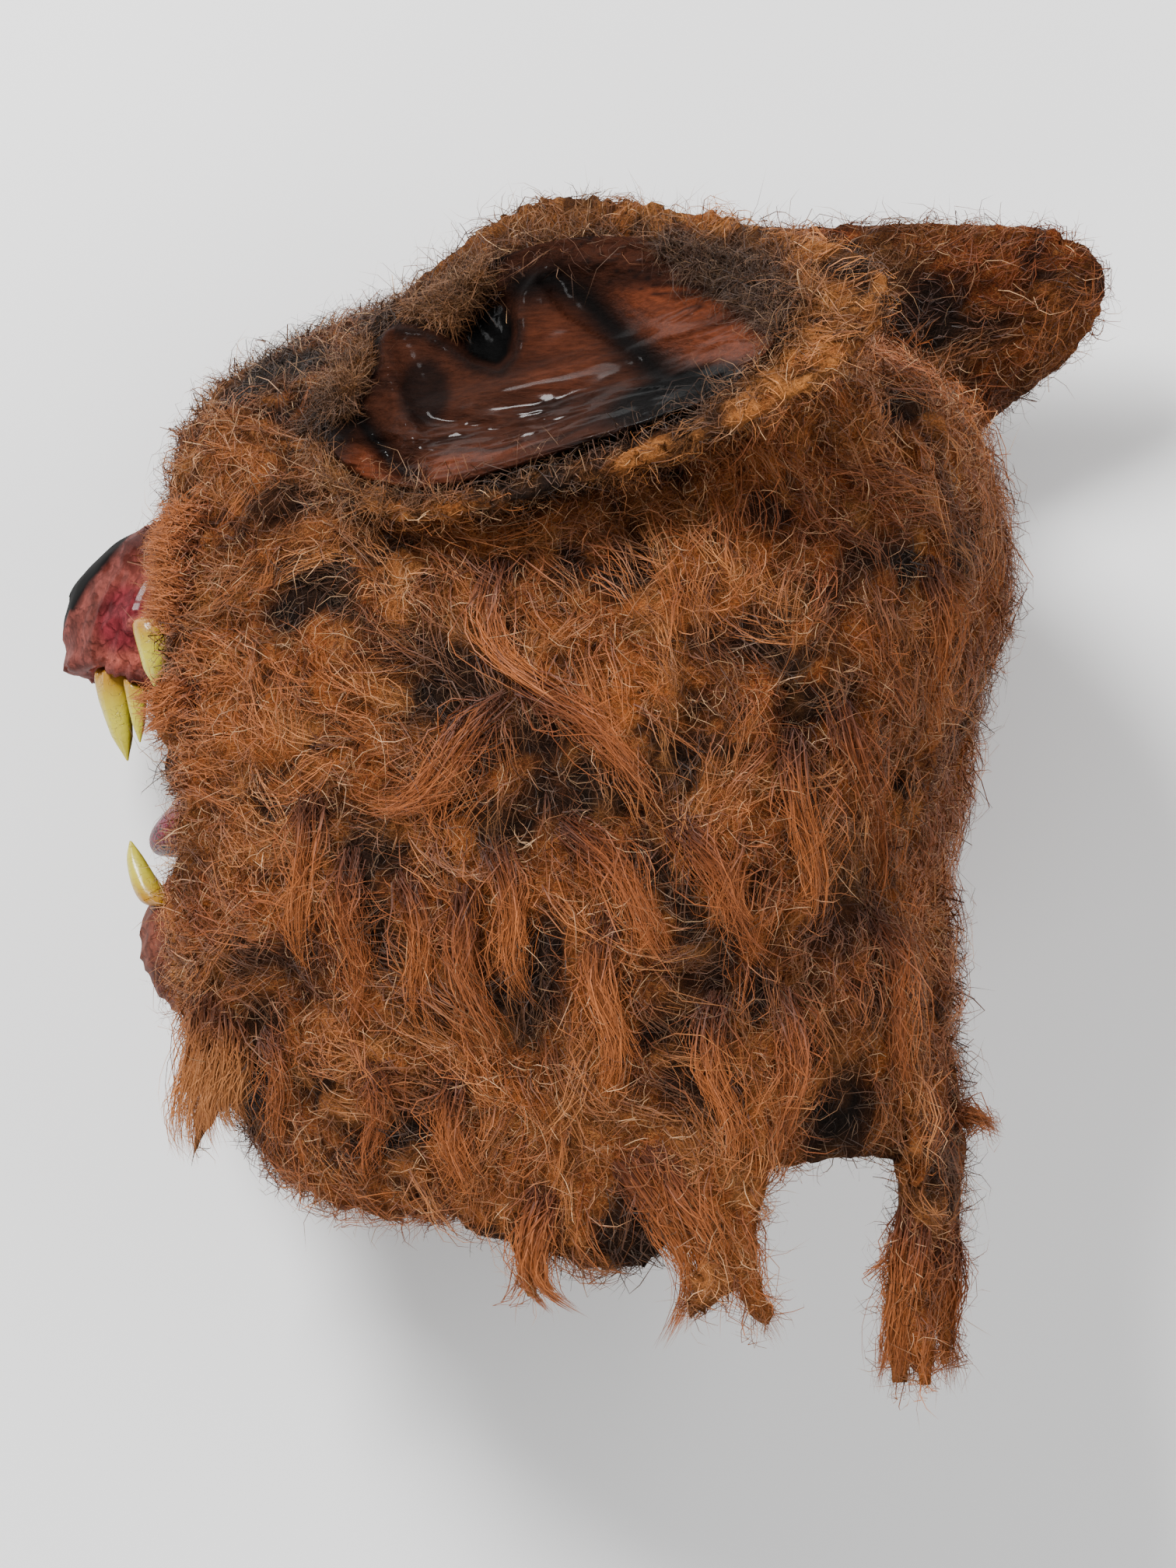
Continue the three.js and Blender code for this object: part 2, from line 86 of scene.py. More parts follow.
# %% [markdown]
# The photograph looks straight down on the mask from about two metres. A long lens at that distance keeps
# the mask's proportions, and the same numbers turn a place in the picture into a place on the mask.
# %% Camera
PICTURE = (1512, 2016)
MIDDLE_HEIGHT = 110 * MM
CAMERA_DISTANCE = 2.0
PIXEL = 0.25 * MM
CAMERA_AT = np.array([-0.75 * MM, 2.98 * MM, MIDDLE_HEIGHT + CAMERA_DISTANCE])
SENSOR = 36.0


def placed(name, data):
    """A new object in the scene, at its origin."""
    obj = bpy.data.objects.new(name, data)
    bpy.context.scene.collection.objects.link(obj)
    return obj


camera_data = bpy.data.cameras.new("camera")
camera_data.sensor_fit = "VERTICAL"
camera_data.sensor_height = SENSOR
camera_data.lens = SENSOR * CAMERA_DISTANCE / (PICTURE[1] * PIXEL)
camera_data.clip_start = 0.05
camera = placed("camera", camera_data)
camera.location = CAMERA_AT
bpy.context.scene.camera = camera


def in_picture(points):
    """Where world points show in the photograph, in its pixels."""
    scale = CAMERA_DISTANCE / PIXEL / (CAMERA_AT[2] - points[..., 2])
    across = PICTURE[0] / 2 + (points[..., 0] - CAMERA_AT[0]) * scale
    down = PICTURE[1] / 2 - (points[..., 1] - CAMERA_AT[1]) * scale
    return np.stack([across, down], axis=-1)


def from_picture(seen, height):
    """World places that show at given pixels of the photograph, at given heights above the floor."""
    seen = np.asarray(seen, float)
    scale = (CAMERA_AT[2] - height) * PIXEL / CAMERA_DISTANCE
    x = CAMERA_AT[0] + (seen[..., 0] - PICTURE[0] / 2) * scale
    y = CAMERA_AT[1] - (seen[..., 1] - PICTURE[1] / 2) * scale
    return np.stack([x, y, np.broadcast_to(height, x.shape)], axis=-1)


print("lens:", round(camera_data.lens, 1), "mm")

# %% [markdown]
# A plain pale floor and three large soft lamps stand in for a white studio table. The main lamp is at the
# upper left, as the highlights on the ear show, and the others only lift the shadows.
# %% Floor and lights
FLOOR_SIZE = 12
FLOOR_GREY = 0.93
ROOM_LIGHT = 0.3
# Each lamp: its place and its diameter in metres, and its power in watts.
LAMPS = {
    "main_lamp": ((-0.9, 1.3, 1.6), 0.7, 96),
    "fill_lamp": ((1.5, 0.3, 1.4), 1.6, 28),
    "front_lamp": ((-0.6, -1.6, 1.0), 1.6, 20),
}

bpy.ops.mesh.primitive_plane_add(size=FLOOR_SIZE)
floor = bpy.context.object
floor.name = "floor"


def soft_lamp(name, place, size, power):
    data = bpy.data.lights.new(name, "AREA")
    data.shape = "DISK"
    data.size = size
    data.energy = power
    lamp = placed(name, data)
    lamp.location = place
    lamp.rotation_euler = (-Vector(place)).to_track_quat("-Z", "Y").to_euler()


for name, (place, size, power) in LAMPS.items():
    soft_lamp(name, place, size, power)
world = bpy.data.worlds.new("room")
world.use_nodes = True
background = world.node_tree.nodes["Background"]
background.inputs["Color"].default_value = (1, 1, 1, 1)
background.inputs["Strength"].default_value = ROOM_LIGHT
bpy.context.scene.world = world
print("lamps:", ", ".join(LAMPS))

# %% [markdown]
# Materials are written as sums. The class below wraps a socket, so that a pattern can be multiplied,
# added and mixed like a number while Blender's nodes are placed behind the scenes.
# %% Sums of shader values
class Value:
    """A socket that takes part in sums."""

    def __init__(self, tree, socket):
        self.tree = tree
        self.socket = socket

    def _math(self, operation, other, swap=False):
        pair = (other, self) if swap else (self, other)
        return self.tree.node("ShaderNodeMath", {"operation": operation}, {0: pair[0], 1: pair[1]})

    def __add__(self, other):
        return self._math("ADD", other)

    def __radd__(self, other):
        return self._math("ADD", other, True)

    def __sub__(self, other):
        return self._math("SUBTRACT", other)

    def __rsub__(self, other):
        return self._math("SUBTRACT", other, True)

    def __mul__(self, other):
        return self._math("MULTIPLY", other)

    def __rmul__(self, other):
        return self._math("MULTIPLY", other, True)

    def off(self, middle):
        """How far the value is from a middle, whichever way."""
        return (self - middle)._math("ABSOLUTE", 0)

    def or_more(self, other):
        return self._math("MAXIMUM", other)


# %% [markdown]
# A finish is one material that is being made. One method places any node, and the others are short names
# for the few nodes that fur, latex, teeth and tongue need: noise, curly lines, soft steps, mixes and bump.
# %% Finishes
class Finish:
    """A material under construction."""

    def __init__(self, name):
        self.material = bpy.data.materials.new(name)
        self.material.use_nodes = True
        self.nodes = self.material.node_tree.nodes
        self.links = self.material.node_tree.links
        self.shader = self.nodes["Principled BSDF"]

    def node(self, kind, settings=None, inputs=None, output=0):
        made = self.nodes.new(kind)
        for name, value in (settings or {}).items():
            setattr(made, name, value)
        for name, value in (inputs or {}).items():
            self._feed(made.inputs[name], value)
        return Value(self, made.outputs[output])

    def _feed(self, socket, value):
        if isinstance(value, Value):
            self.links.new(value.socket, socket)
        else:
            socket.default_value = value

    def set(self, **inputs):
        for name, value in inputs.items():
            self._feed(self.shader.inputs[name.replace("_", " ")], value)
        return self.material

    def place(self):
        return self.node("ShaderNodeTexCoord", output="Object")

    def attribute(self, name, output="Color"):
        return self.node("ShaderNodeAttribute", {"attribute_name": name}, output=output)

    def stretched(self, scale):
        """Object coordinates that a pattern reads, scaled differently along each axis."""
        return self.node("ShaderNodeMapping", None, {"Vector": self.place(), "Scale": scale})

    def noise(self, scale, detail=4, roughness=0.5, vector=None):
        inputs = {"Scale": scale, "Detail": detail, "Roughness": roughness}
        return self.node("ShaderNodeTexNoise", None, {"Vector": vector or self.place(), **inputs})

    def curls(self, size, width):
        """Thin curly lines, where a smooth noise passes its middle value: 1 on a line and 0 beside it."""
        return 1 - self.between(self.noise(1 / size, 2).off(0.5), 0.0, width)

    def between(self, value, low, high):
        """The value stretched so that low becomes 0 and high becomes 1, and held there."""
        inputs = {"Value": value, "From Min": low, "From Max": high}
        return self.node("ShaderNodeMapRange", {"interpolation_type": "SMOOTHSTEP"}, inputs)

    def mix(self, share, a, b):
        made = self.nodes.new("ShaderNodeMix")
        made.data_type = "RGBA"
        for socket, value in ((made.inputs[0], share), (made.inputs[6], a), (made.inputs[7], b)):
            if isinstance(value, tuple) and len(value) == 3:
                value = (*value, 1)
            self._feed(socket, value)
        return Value(self, made.outputs[2])

    def tinted(self, colour, tint):
        """One colour multiplied by another, channel by channel."""
        return self.node("ShaderNodeVectorMath", {"operation": "MULTIPLY"}, {0: colour, 1: tint})

    def bump(self, height, distance, strength):
        inputs = {"Height": height, "Distance": distance, "Strength": strength}
        return self.node("ShaderNodeBump", None, inputs)


floor_finish = Finish("floor_paint")
floor_colour = (FLOOR_GREY, FLOOR_GREY, FLOOR_GREY, 1)
floor.data.materials.append(floor_finish.set(Base_Color=floor_colour, Roughness=0.9))
print("floor:", floor_finish.material.name)

# %% [markdown]
# Colours of the real mask: rust fur over a near-black backing, tan tips, and brown latex shaded in black.
# They are written as a screen shows them, and changed to the linear values that shaders work in.
# %% Colours
def linear(red, green, blue):
    """A colour read off a screen, 0 to 255, as linear values."""
    shares = [channel / 255 for channel in (red, green, blue)]
    return np.array([s / 12.92 if s <= 0.04045 else ((s + 0.055) / 1.055) ** 2.4 for s in shares])


RUST = linear(153, 86, 41)
RUST_DEEP = linear(112, 54, 24)
HONEY = linear(200, 134, 78)
BROWN = linear(92, 60, 34)
DARK = linear(24, 17, 13)
TAN = linear(178, 116, 60)
BLEACHED = linear(222, 178, 132)
LATEX_BROWN = linear(52, 26, 15)
LATEX_BLACK = linear(3, 3, 3)
LATEX_ORANGE = linear(94, 46, 25)
SNOUT_PINK = linear(116, 60, 53)
DEEP_PINK = linear(106, 32, 44)
GUM_PINK = linear(158, 82, 70)
LIP_BROWN = linear(112, 62, 48)
MOUTH_RED = linear(60, 14, 18)
TONGUE_PINK = linear(100, 18, 40)
TOOTH_YELLOW = linear(184, 172, 50)
TOOTH_AMBER = linear(150, 92, 8)
YELLOW_GREEN = linear(160, 160, 40)
print("main colours of the fur:", RUST.round(3), DARK.round(3))

# %% [markdown]
# Every new piece starts from a copy of a solid or from a primitive. These helpers copy a solid with its
# loose triangles joined, run an operator on all of a mesh, and run one modifier to its end, as one would by
# hand. Points, normals and colours are read and written as whole arrays, because that is many times faster.
# %% Helpers for meshes
SAME_PLACE = 0.01 * MM


def only(obj):
    """Selects one object, because an operator acts on all that is selected."""
    bpy.ops.object.select_all(action="DESELECT")
    obj.select_set(True)
    bpy.context.view_layer.objects.active = obj


def edited(obj, operator, **settings):
    """Runs one operator of edit mode on all of a mesh."""
    only(obj)
    bpy.ops.object.mode_set(mode="EDIT")
    bpy.ops.mesh.select_all(action="SELECT")
    operator(**settings)
    bpy.ops.object.mode_set(mode="OBJECT")


def smooth_shaded(obj):
    only(obj)
    bpy.ops.object.shade_smooth()


def joined_copy(node, name):
    """A copy of a solid's mesh with its loose triangles joined."""
    obj = placed(name, NODES[node].data.copy())
    obj.data.materials.clear()
    edited(obj, bpy.ops.mesh.remove_doubles, threshold=SAME_PLACE)
    return obj


def apply_modifier(obj, kind, **settings):
    only(obj)
    modifier = obj.modifiers.new(kind.lower(), kind)
    for name, value in settings.items():
        setattr(modifier, name, value)
    bpy.ops.object.modifier_apply(modifier=modifier.name)


def corners(obj, what="co"):
    flat = np.empty(len(obj.data.vertices) * 3)
    obj.data.vertices.foreach_get(what, flat)
    return flat.reshape(-1, 3)


def set_corners(obj, points):
    obj.data.vertices.foreach_set("co", np.asarray(points, float).ravel())
    obj.data.update()


def corner_normals(obj):
    return corners(obj, "normal")


def paint_points(mesh, name, colour):
    layer = mesh.color_attributes.get(name) or mesh.color_attributes.new(name, "FLOAT_COLOR", "POINT")
    full = np.concatenate([np.clip(colour, 0, 1), np.ones((len(colour), 1))], axis=1)
    layer.data.foreach_set("color", full.astype(np.float32).ravel())


def paint_of(mesh, name):
    full = np.empty(len(mesh.vertices) * 4, np.float32)
    mesh.color_attributes[name].data.foreach_get("color", full)
    return full.reshape(-1, 4)[:, :3]


def surface_of(obj):
    """The mesh as something that finds its point nearest to any place."""
    points = [Vector(corner) for corner in corners(obj)]
    return BVHTree.FromPolygons(points, [tuple(face.vertices) for face in obj.data.polygons])


def tree_of(points):
    """A search tree that finds the points near any place."""
    tree = kdtree.KDTree(len(points))
    for i, point in enumerate(points):
        tree.insert(point, i)
    tree.balance()
    return tree


# %% [markdown]
# The rest of the sums work on many points at once: soft steps, mixed colours, ovals of the picture, and
# slow random waves in space that make swirls, patches and ragged edges.
# %% Helpers for sums on points
WAVES = 7
WAVES_HEIGHT = 3.2  # the sum of so many waves is divided by this


def unit(vectors):
    return vectors / np.maximum(np.linalg.norm(vectors, axis=-1, keepdims=True), 1e-9)


def smooth_step(values, low, high):
    share = np.clip((values - low) / (high - low), 0, 1)
    return share * share * (3 - 2 * share)


def blended(a, b, share):
    return a * (1 - share[:, None]) + b * share[:, None]


def all_over(colour, count):
    """The same colour for a number of points."""
    return np.tile(colour, (count, 1))


def inside(seen, x, y, wide, high, turn=0, soft=(0.7, 1.25)):
    """1 within an oval of picture pixels, given by middle, half sizes and turn, falling softly to 0."""
    angle = math.radians(turn)
    dx, dy = seen[:, 0] - x, seen[:, 1] - y
    along = dx * math.cos(angle) + dy * math.sin(angle)
    across = dy * math.cos(angle) - dx * math.sin(angle)
    return 1 - smooth_step(np.hypot(along / wide, across / high), *soft)


def waves(points, size, seed):
    """A smooth random number from about -1 to 1 at each point, that changes over the given size."""
    draw = np.random.default_rng(seed)
    total = np.zeros(points.shape[:-1])
    for _ in range(WAVES):
        way = unit(draw.normal(size=3)) * draw.uniform(0.6, 1.6) * 2 * math.pi / size
        total += np.sin(points @ way + draw.uniform(0, 2 * math.pi))
    return total / WAVES_HEIGHT


# %% [markdown]
# Under the fur lies a backing of dark felt. It is made from the pelt's solid: its carved locks are melted
# together by a voxel remesh and smoothed, and the whole is drawn inwards, by less where the solid is thin.
# %% Dark backing of the fur
BACKING_VOXEL = 3.6 * MM
BACKING_DEPTH = 6.5 * MM
THIN_SHARE = 0.3
RAY_START = 0.1 * MM
SMOOTH_FACTOR = 0.5
BACKING_ROUNDS = 6
LAST_ROUNDS = 3


def smoothed(piece, rounds):
    apply_modifier(piece, "SMOOTH", factor=SMOOTH_FACTOR, iterations=rounds)


def remeshed(piece, voxel, rounds):
    """The piece as one even, smoothed skin, without the crumbs that a remesh leaves at thin tips."""
    name = piece.name
    apply_modifier(piece, "REMESH", mode="VOXEL", voxel_size=voxel, use_smooth_shade=True)
    only(piece)
    bpy.ops.mesh.separate(type="LOOSE")
    parts = sorted(bpy.context.selected_objects, key=lambda part: -len(part.data.vertices))
    for crumb in parts[1:]:
        bpy.data.objects.remove(crumb)
    parts[0].name = name
    smoothed(parts[0], rounds)
    return parts[0]


def backing_of(node, name, voxel, depth, rounds):
    """The pelt drawn inwards by a depth, or by a share of its own thickness where it is thin."""
    piece = remeshed(joined_copy(node, name), voxel, rounds)
    surface = surface_of(piece)
    points, normals = corners(piece), corner_normals(piece)
    sunk = points.copy()
    for i, (point, normal) in enumerate(zip(points, normals)):
        inwards = Vector(-normal)
        hit, _, _, way = surface.ray_cast(Vector(point) + inwards * RAY_START, inwards)
        room = way if hit else depth
        sunk[i] = point - normal * min(depth, room * THIN_SHARE)
    set_corners(piece, sunk)
    smoothed(piece, LAST_ROUNDS)
    return piece


hood_backing = backing_of("fur_hood", "hood_backing", BACKING_VOXEL, BACKING_DEPTH, BACKING_ROUNDS)
print("backing faces:", len(hood_backing.data.polygons))

# %% [markdown]
# The fur has no strands of its own kind here: each strand is a narrow ribbon that tapers to a point. First
# a few thousand guides are led over the backing, the way the pile lies, and each guide then gets a lock of
# ribbons that gather towards its tip. Ribbons, not particles, because the exported part keeps only meshes.
# %% Where the fur starts
def faces_of(obj):
    """Corners, normal and area of each of the mesh's triangles."""
    obj.data.calc_loop_triangles()
    index = np.empty(len(obj.data.loop_triangles) * 3, int)
    obj.data.loop_triangles.foreach_get("vertices", index)
    corner = corners(obj)[index.reshape(-1, 3)]
    cross = np.cross(corner[:, 1] - corner[:, 0], corner[:, 2] - corner[:, 0])
    return corner, unit(cross), np.linalg.norm(cross, axis=1) / 2


def scatter_on(corner, normal, weight, count, draw):
    """Random points on triangles, the more the higher their weight."""
    chosen = draw.choice(len(corner), count, p=weight / weight.sum())
    a, b = draw.random(count), draw.random(count)
    flip = a + b > 1
    a[flip], b[flip] = 1 - a[flip], 1 - b[flip]
    pick = corner[chosen]
    points = pick[:, 0] + a[:, None] * (pick[:, 1] - pick[:, 0]) + b[:, None] * (pick[:, 2] - pick[:, 0])
    return points, normal[chosen]


def spaced(points, distance):
    """The indices of points that keep their distance from each other."""
    tree = tree_of(points)
    kept = np.ones(len(points), bool)
    for i, point in enumerate(points):
        if kept[i]:
            for _, j, _ in tree.find_range(point, distance):
                if j > i:
                    kept[j] = False
    return np.flatnonzero(kept)


# %% [markdown]
# Guides are walked step by step. A step follows the lie of the fur, which turns in slow random swirls, and
# is pulled back to its height above the backing, so that the lock rises from its root and settles again.
# %% Guides
GUIDE_POINTS = 8
LOWEST_FUR = 0.6 * MM
WAVE_STEP = 2.1
MOST_PULL = 0.9
NEW_LIE = 0.25  # how much of each step follows the lie of the fur, and the rest its last step
LOCK_ARCH = (0.9, 0.08, 0.7)
# A guide that has left the surface by more than so many times its height, and a little, is let go.
LET_GO, LET_GO_MORE = 3, 2 * MM


def turned(vectors, axes, angles):
    """Vectors turned round axes at a right angle to them."""
    cosine, sine = np.cos(angles)[:, None], np.sin(angles)[:, None]
    return vectors * cosine + np.cross(axes, vectors) * sine


def arch(share, reach, start, power):
    """How high a lock stands at a share of its length: it rises quickly, and settles at its tip."""
    return math.sin(math.pi * min(share * reach + start, 1)) ** power


def flattened(vectors, normals):
    return unit(vectors - normals * (vectors * normals).sum(-1, keepdims=True))


class Guides:
    """Middle lines of locks, with what the ribbons and the wool under them need to know."""

    def __init__(self, roots, normals, length, lift, curl, width, root_colour, tip_colour):
        self.roots, self.normals = roots, normals
        self.length, self.lift, self.curl, self.width = length, lift, curl, width
        self.root_colour, self.tip_colour = root_colour, tip_colour

    def walk(self, surface, lie, wave, draw):
        """Leads each guide over the surface, the way the fur lies, with a wave of the given strength."""
        count = len(self.roots)
        self.path = np.empty((count, GUIDE_POINTS, 3))
        self.path[:, 0] = self.roots
        way = flattened(lie(self.roots, self.normals), self.normals)
        step = (self.length / (GUIDE_POINTS - 1))[:, None]
        phase = draw.uniform(0, 2 * math.pi, count)
        place, upright = self.roots.copy(), self.normals.copy()
        for k in range(1, GUIDE_POINTS):
            share = k / (GUIDE_POINTS - 1)
            bend = self.curl * (0.5 + share) + wave * np.sin(phase + WAVE_STEP * k)
            ahead = place + turned(way, upright, bend) * step
            height = self.lift * arch(share, *LOCK_ARCH)
            for i in range(count):
                near, facing, _, off = surface.find_nearest(Vector(ahead[i]))
                if off < LET_GO * self.lift[i] + LET_GO_MORE:
                    pull = np.array(near) + np.array(facing) * height[i] - ahead[i]
                    reach = np.linalg.norm(pull)
                    ahead[i] += pull * min(1, MOST_PULL * step[i, 0] / max(reach, 1e-9))
                    upright[i] = unit(upright[i] + np.array(facing))
            ahead[:, 2] = np.maximum(ahead[:, 2], LOWEST_FUR)
            way = flattened(ahead - place, upright)
            way = flattened(way * (1 - NEW_LIE) + lie(ahead, upright) * NEW_LIE, upright)
            place = ahead
            self.path[:, k] = place

    def part(self, index):
        made = Guides(*(getattr(self, name)[index] for name in (
            "roots", "normals", "length", "lift", "curl", "width", "root_colour", "tip_colour")))
        made.path = self.path[index]
        return made


# %% [markdown]
# Between the strands the pile is a soft mass of wool. It is the backing once more, raised along every guide
# into a rounded lock, and coloured like it, with the black of the backing left in the valleys. Each lock is
# painted darker towards its sides, and the dark places darker still, as painted shade.
# %% Wool under the strands
WOOL_REACH = 9 * MM
WOOL_SHARE = 0.75
WOOL_LOWEST = 0.2 * MM
WOOL_ARCH = (0.85, 0.12, 0.6)
SAMPLES_NEAR = 7


def wool(backing, name, guides, reach):
    """A copy of the backing, raised and coloured where locks pass over it, with painted shade at the locks'
    sides.
    """
    piece = placed(name, backing.data.copy())
    points, normals = corners(piece), corner_normals(piece)
    between = (guides.path[:, :-1] + guides.path[:, 1:]) / 2
    samples = np.concatenate([guides.path, between], axis=1)
    places = np.arange(GUIDE_POINTS)
    shares = np.concatenate([places, places[:-1] + 0.5]) / (GUIDE_POINTS - 1)
    tree = tree_of(samples.reshape(-1, 3))
    height = np.zeros(len(points))
    colour = all_over(DARK, len(points))
    for v, point in enumerate(points):
        best = 0.0
        for _, found, _ in tree.find_n(Vector(point), SAMPLES_NEAR):
            i, k = divmod(found, len(shares))
            gap = samples[i, k] - point
            flat = gap - normals[v] * (gap @ normals[v])
            off = math.sqrt(flat @ flat) / min(guides.width[i] * 1.25, reach)
            if off < 1:
                rise = guides.lift[i] * arch(shares[k], *WOOL_ARCH) * (1 - off ** 2) ** 0.8
                if rise > best:
                    best = rise
                    share = 0.4 + 0.6 * shares[k]
                    mixed = guides.root_colour[i] * (1 - share) + guides.tip_colour[i] * share
                    # Darker towards the lock's side: painted shade in the valley beside it.
                    colour[v] = mixed * (1 - 0.85 * off ** 1.5)
        height[v] = best
    # Painted shade in the dark places, where the wool is also raised less.
    dark = shade_and_backing(points)
    colour = blended(colour, DARK, 0.85 * dark)
    raised = points + normals * (height * WOOL_SHARE * (1 - 0.45 * dark))[:, None]
    raised[:, 2] = np.maximum(raised[:, 2], WOOL_LOWEST)
    set_corners(piece, raised)
    paint_points(piece.data, "fur_colour", colour)
    piece.data.materials.clear()
    piece.data.materials.append(wool_material)
    return piece


# %% [markdown]
# A ribbon has two corners at each step of its line and one at its tip. Thousands of them go into one mesh,
# so the corners and faces are worked out as whole arrays. Their colours are kept at the mesh's corners.
# %% Ribbons
TWIST = 0.7
TAPER = 0.75
STRAND_WIDTHS = (0.6, 1.4)


def ribbon_mesh(name, line, upright, wide, colour, draw):
    """One narrow ribbon along each line, twisted at random and tapered to a point."""
    count, points = line.shape[:2]
    share = np.linspace(0, 1, points)
    line[..., 2] = np.maximum(line[..., 2], LOWEST_FUR)
    tangent = unit(np.gradient(line, axis=1))
    twist = draw.normal(0, TWIST, count)[:, None, None]
    across = unit(np.cross(tangent, upright[:, None]))
    across = unit(across + twist * np.cross(tangent, across))
    half = wide[:, None] * (1 - TAPER * share[None] ** 1.5) / 2
    left, right = line - across * half[..., None], line + across * half[..., None]
    both = np.stack([left[:, :-1], right[:, :-1]], axis=2).reshape(count, -1, 3)
    vertices = np.concatenate([both, line[:, -1:]], axis=1)
    per = vertices.shape[1]
    base = (np.arange(count) * per)[:, None]
    quads = [base + np.array([2 * k, 2 * k + 1, 2 * k + 3, 2 * k + 2]) for k in range(points - 2)]
    quads = np.stack(quads, axis=1).reshape(-1, 4)
    tips = base + np.array([2 * points - 4, 2 * points - 3, 2 * points - 2])
    mesh = bpy.data.meshes.new(name)
    mesh.vertices.add(count * per)
    mesh.vertices.foreach_set("co", vertices.astype(np.float32).ravel())
    loops = np.concatenate([quads.ravel(), tips.ravel()])
    mesh.loops.add(len(loops))
    mesh.loops.foreach_set("vertex_index", loops.astype(np.int32))
    sizes = np.concatenate([np.full(len(quads), 4), np.full(len(tips), 3)])
    mesh.polygons.add(len(sizes))
    starts = np.concatenate([[0], np.cumsum(sizes)[:-1]])
    mesh.polygons.foreach_set("loop_start", starts.astype(np.int32))
    mesh.polygons.foreach_set("use_smooth", np.ones(len(sizes), bool))
    mesh.update(calc_edges=True)
    twice = np.repeat(colour[:, :-1], 2, axis=1)
    paint_points(mesh, "fur_colour", np.concatenate([twice, colour[:, -1:]], axis=1).reshape(-1, 3))
    mesh.materials.append(fur_material)
    print(name, "strands", count, "triangles", len(quads) * 2 + len(tips))
    return placed(name, mesh)


# %% [markdown]
# A strand copies its guide from its own starting place. The nearer to the tip, the closer it draws to the
# guide, and a random wave keeps it from lying too neatly. It is dark at the root and lighter at the tip.
# %% Locks
FLATNESS = 0.25  # how thick a lock is for its width
LONGEST_FRIZZ = 3


def ribbons(name, guides, draw, strands, clump, frizz, width, points, reach):
    """The locks: strands that start beside their guide and draw closer to it towards its tip."""
    path, spread = guides.path, guides.width
    clump = draw.uniform(*clump, len(path))
    guide = np.repeat(np.arange(len(path)), strands)
    count = len(guide)
    along, upright = path[guide], guides.normals[guide]
    first = unit(along[:, 1] - along[:, 0])
    side = unit(np.cross(first, upright))
    angle = draw.uniform(0, 2 * math.pi, count)
    radius = np.sqrt(draw.random(count)) * spread[guide]
    offset = side * (radius * np.cos(angle))[:, None] + first * (radius * np.sin(angle))[:, None] * 0.9
    offset += upright * (draw.normal(0, FLATNESS, count) * spread[guide])[:, None]
    extent = draw.uniform(*reach, count)
    share = np.linspace(0, 1, points)
    sample = np.clip(share[None] * extent[:, None], 0, 1) * (GUIDE_POINTS - 1)
    low = np.minimum(sample.astype(int), GUIDE_POINTS - 2)
    part = (sample - low)[..., None]
    row = np.arange(count)[:, None]
    line = along[row, low] * (1 - part) + along[row, low + 1] * part
    gather = 1 - clump[guide][:, None] * share[None] ** 0.8
    line = line + offset[:, None] * gather[..., None]
    for axis in (side, upright):
        beat = draw.uniform(0.7, 2.2, count)[:, None]
        start = draw.uniform(0, 2 * math.pi, count)[:, None]
        size = (np.minimum(draw.exponential(1.0, count), LONGEST_FRIZZ) * frizz)[:, None]
        wave = size * (np.sin(start + beat * 6.3 * share) - np.sin(start))
        line = line + axis[:, None] * wave[..., None]
    root, tip = guides.root_colour[guide], guides.tip_colour[guide]
    tone = draw.uniform(0.72, 1.25, count)[:, None, None]
    fade = smooth_step(share, 0.0, 0.6)[None, :, None]
    dim = (0.45 + 0.55 * smooth_step(share, 0.0, 0.35))[None, :, None]
    colour = (root[:, None] * (1 - fade) + tip[:, None] * fade) * tone * dim
    return ribbon_mesh(name, line, upright, width * draw.uniform(*STRAND_WIDTHS, count), colour, draw)


# %% [markdown]
# The pile is old and rubbed, so that most of what one sees is fuzz: short fibres that curl every way over
# the locks. They start on the wool, take its colour, and a few are bleached. In the dark places they are
# fewer and painted darker, as shade.
# %% Fuzz
FUZZ_POINTS = 4
MOST_CURL = 1.5


def fuzz(name, piece, wanted, draw, count, length, width, bleach=1.0):
    """Short fibres on the places of a woolly piece that are wanted."""
    corner, normal, area = faces_of(piece)
    middle = corner.mean(axis=1)
    weight = area * wanted(middle, normal) * (1 - 0.5 * shade_and_backing(middle))
    roots, upright = scatter_on(corner, normal, weight, count, draw)
    tree = tree_of(corners(piece))
    nearest = np.array([tree.find(root)[1] for root in roots])
    tone = paint_of(piece.data, "fur_colour")[nearest]
    dark = shade_and_backing(roots)
    way = flattened(draw.normal(size=(count, 3)), upright)
    side = np.cross(upright, way)
    long = length * draw.uniform(0.5, 1.5, count)[:, None, None]
    share = np.linspace(0, 1, FUZZ_POINTS)[None, :, None]
    curl = np.clip(draw.normal(0, 0.9, count), -MOST_CURL, MOST_CURL)[:, None, None]
    rise = draw.uniform(0.1, 0.75, count)[:, None, None]
    line = roots[:, None] + long * (
        way[:, None] * (share - 0.25 * share ** 3)
        + side[:, None] * curl * share ** 2
        + upright[:, None] * rise * np.sin(2.2 * share)
    )
    # Painted shade: fibres in the dark places are darker and less often bleached, the others a little
    # brighter.
    lit = (1 - 0.8 * dark)[:, None]
    colour = tone * draw.uniform(0.7, 1.7, count)[:, None] + RUST_DEEP * 0.12 * lit
    colour = colour + BROWN * 0.5 * dark[:, None] * draw.random(count)[:, None] ** 3
    pale = draw.random(count) ** 6
    colour = blended(colour, BLEACHED, pale * (0.8 - 0.6 * dark) * bleach)
    shade = np.repeat(colour[:, None], FUZZ_POINTS, axis=1) * (0.7 + 0.3 * share)
    return ribbon_mesh(name, line, upright, width * draw.uniform(*STRAND_WIDTHS, count), shade, draw)


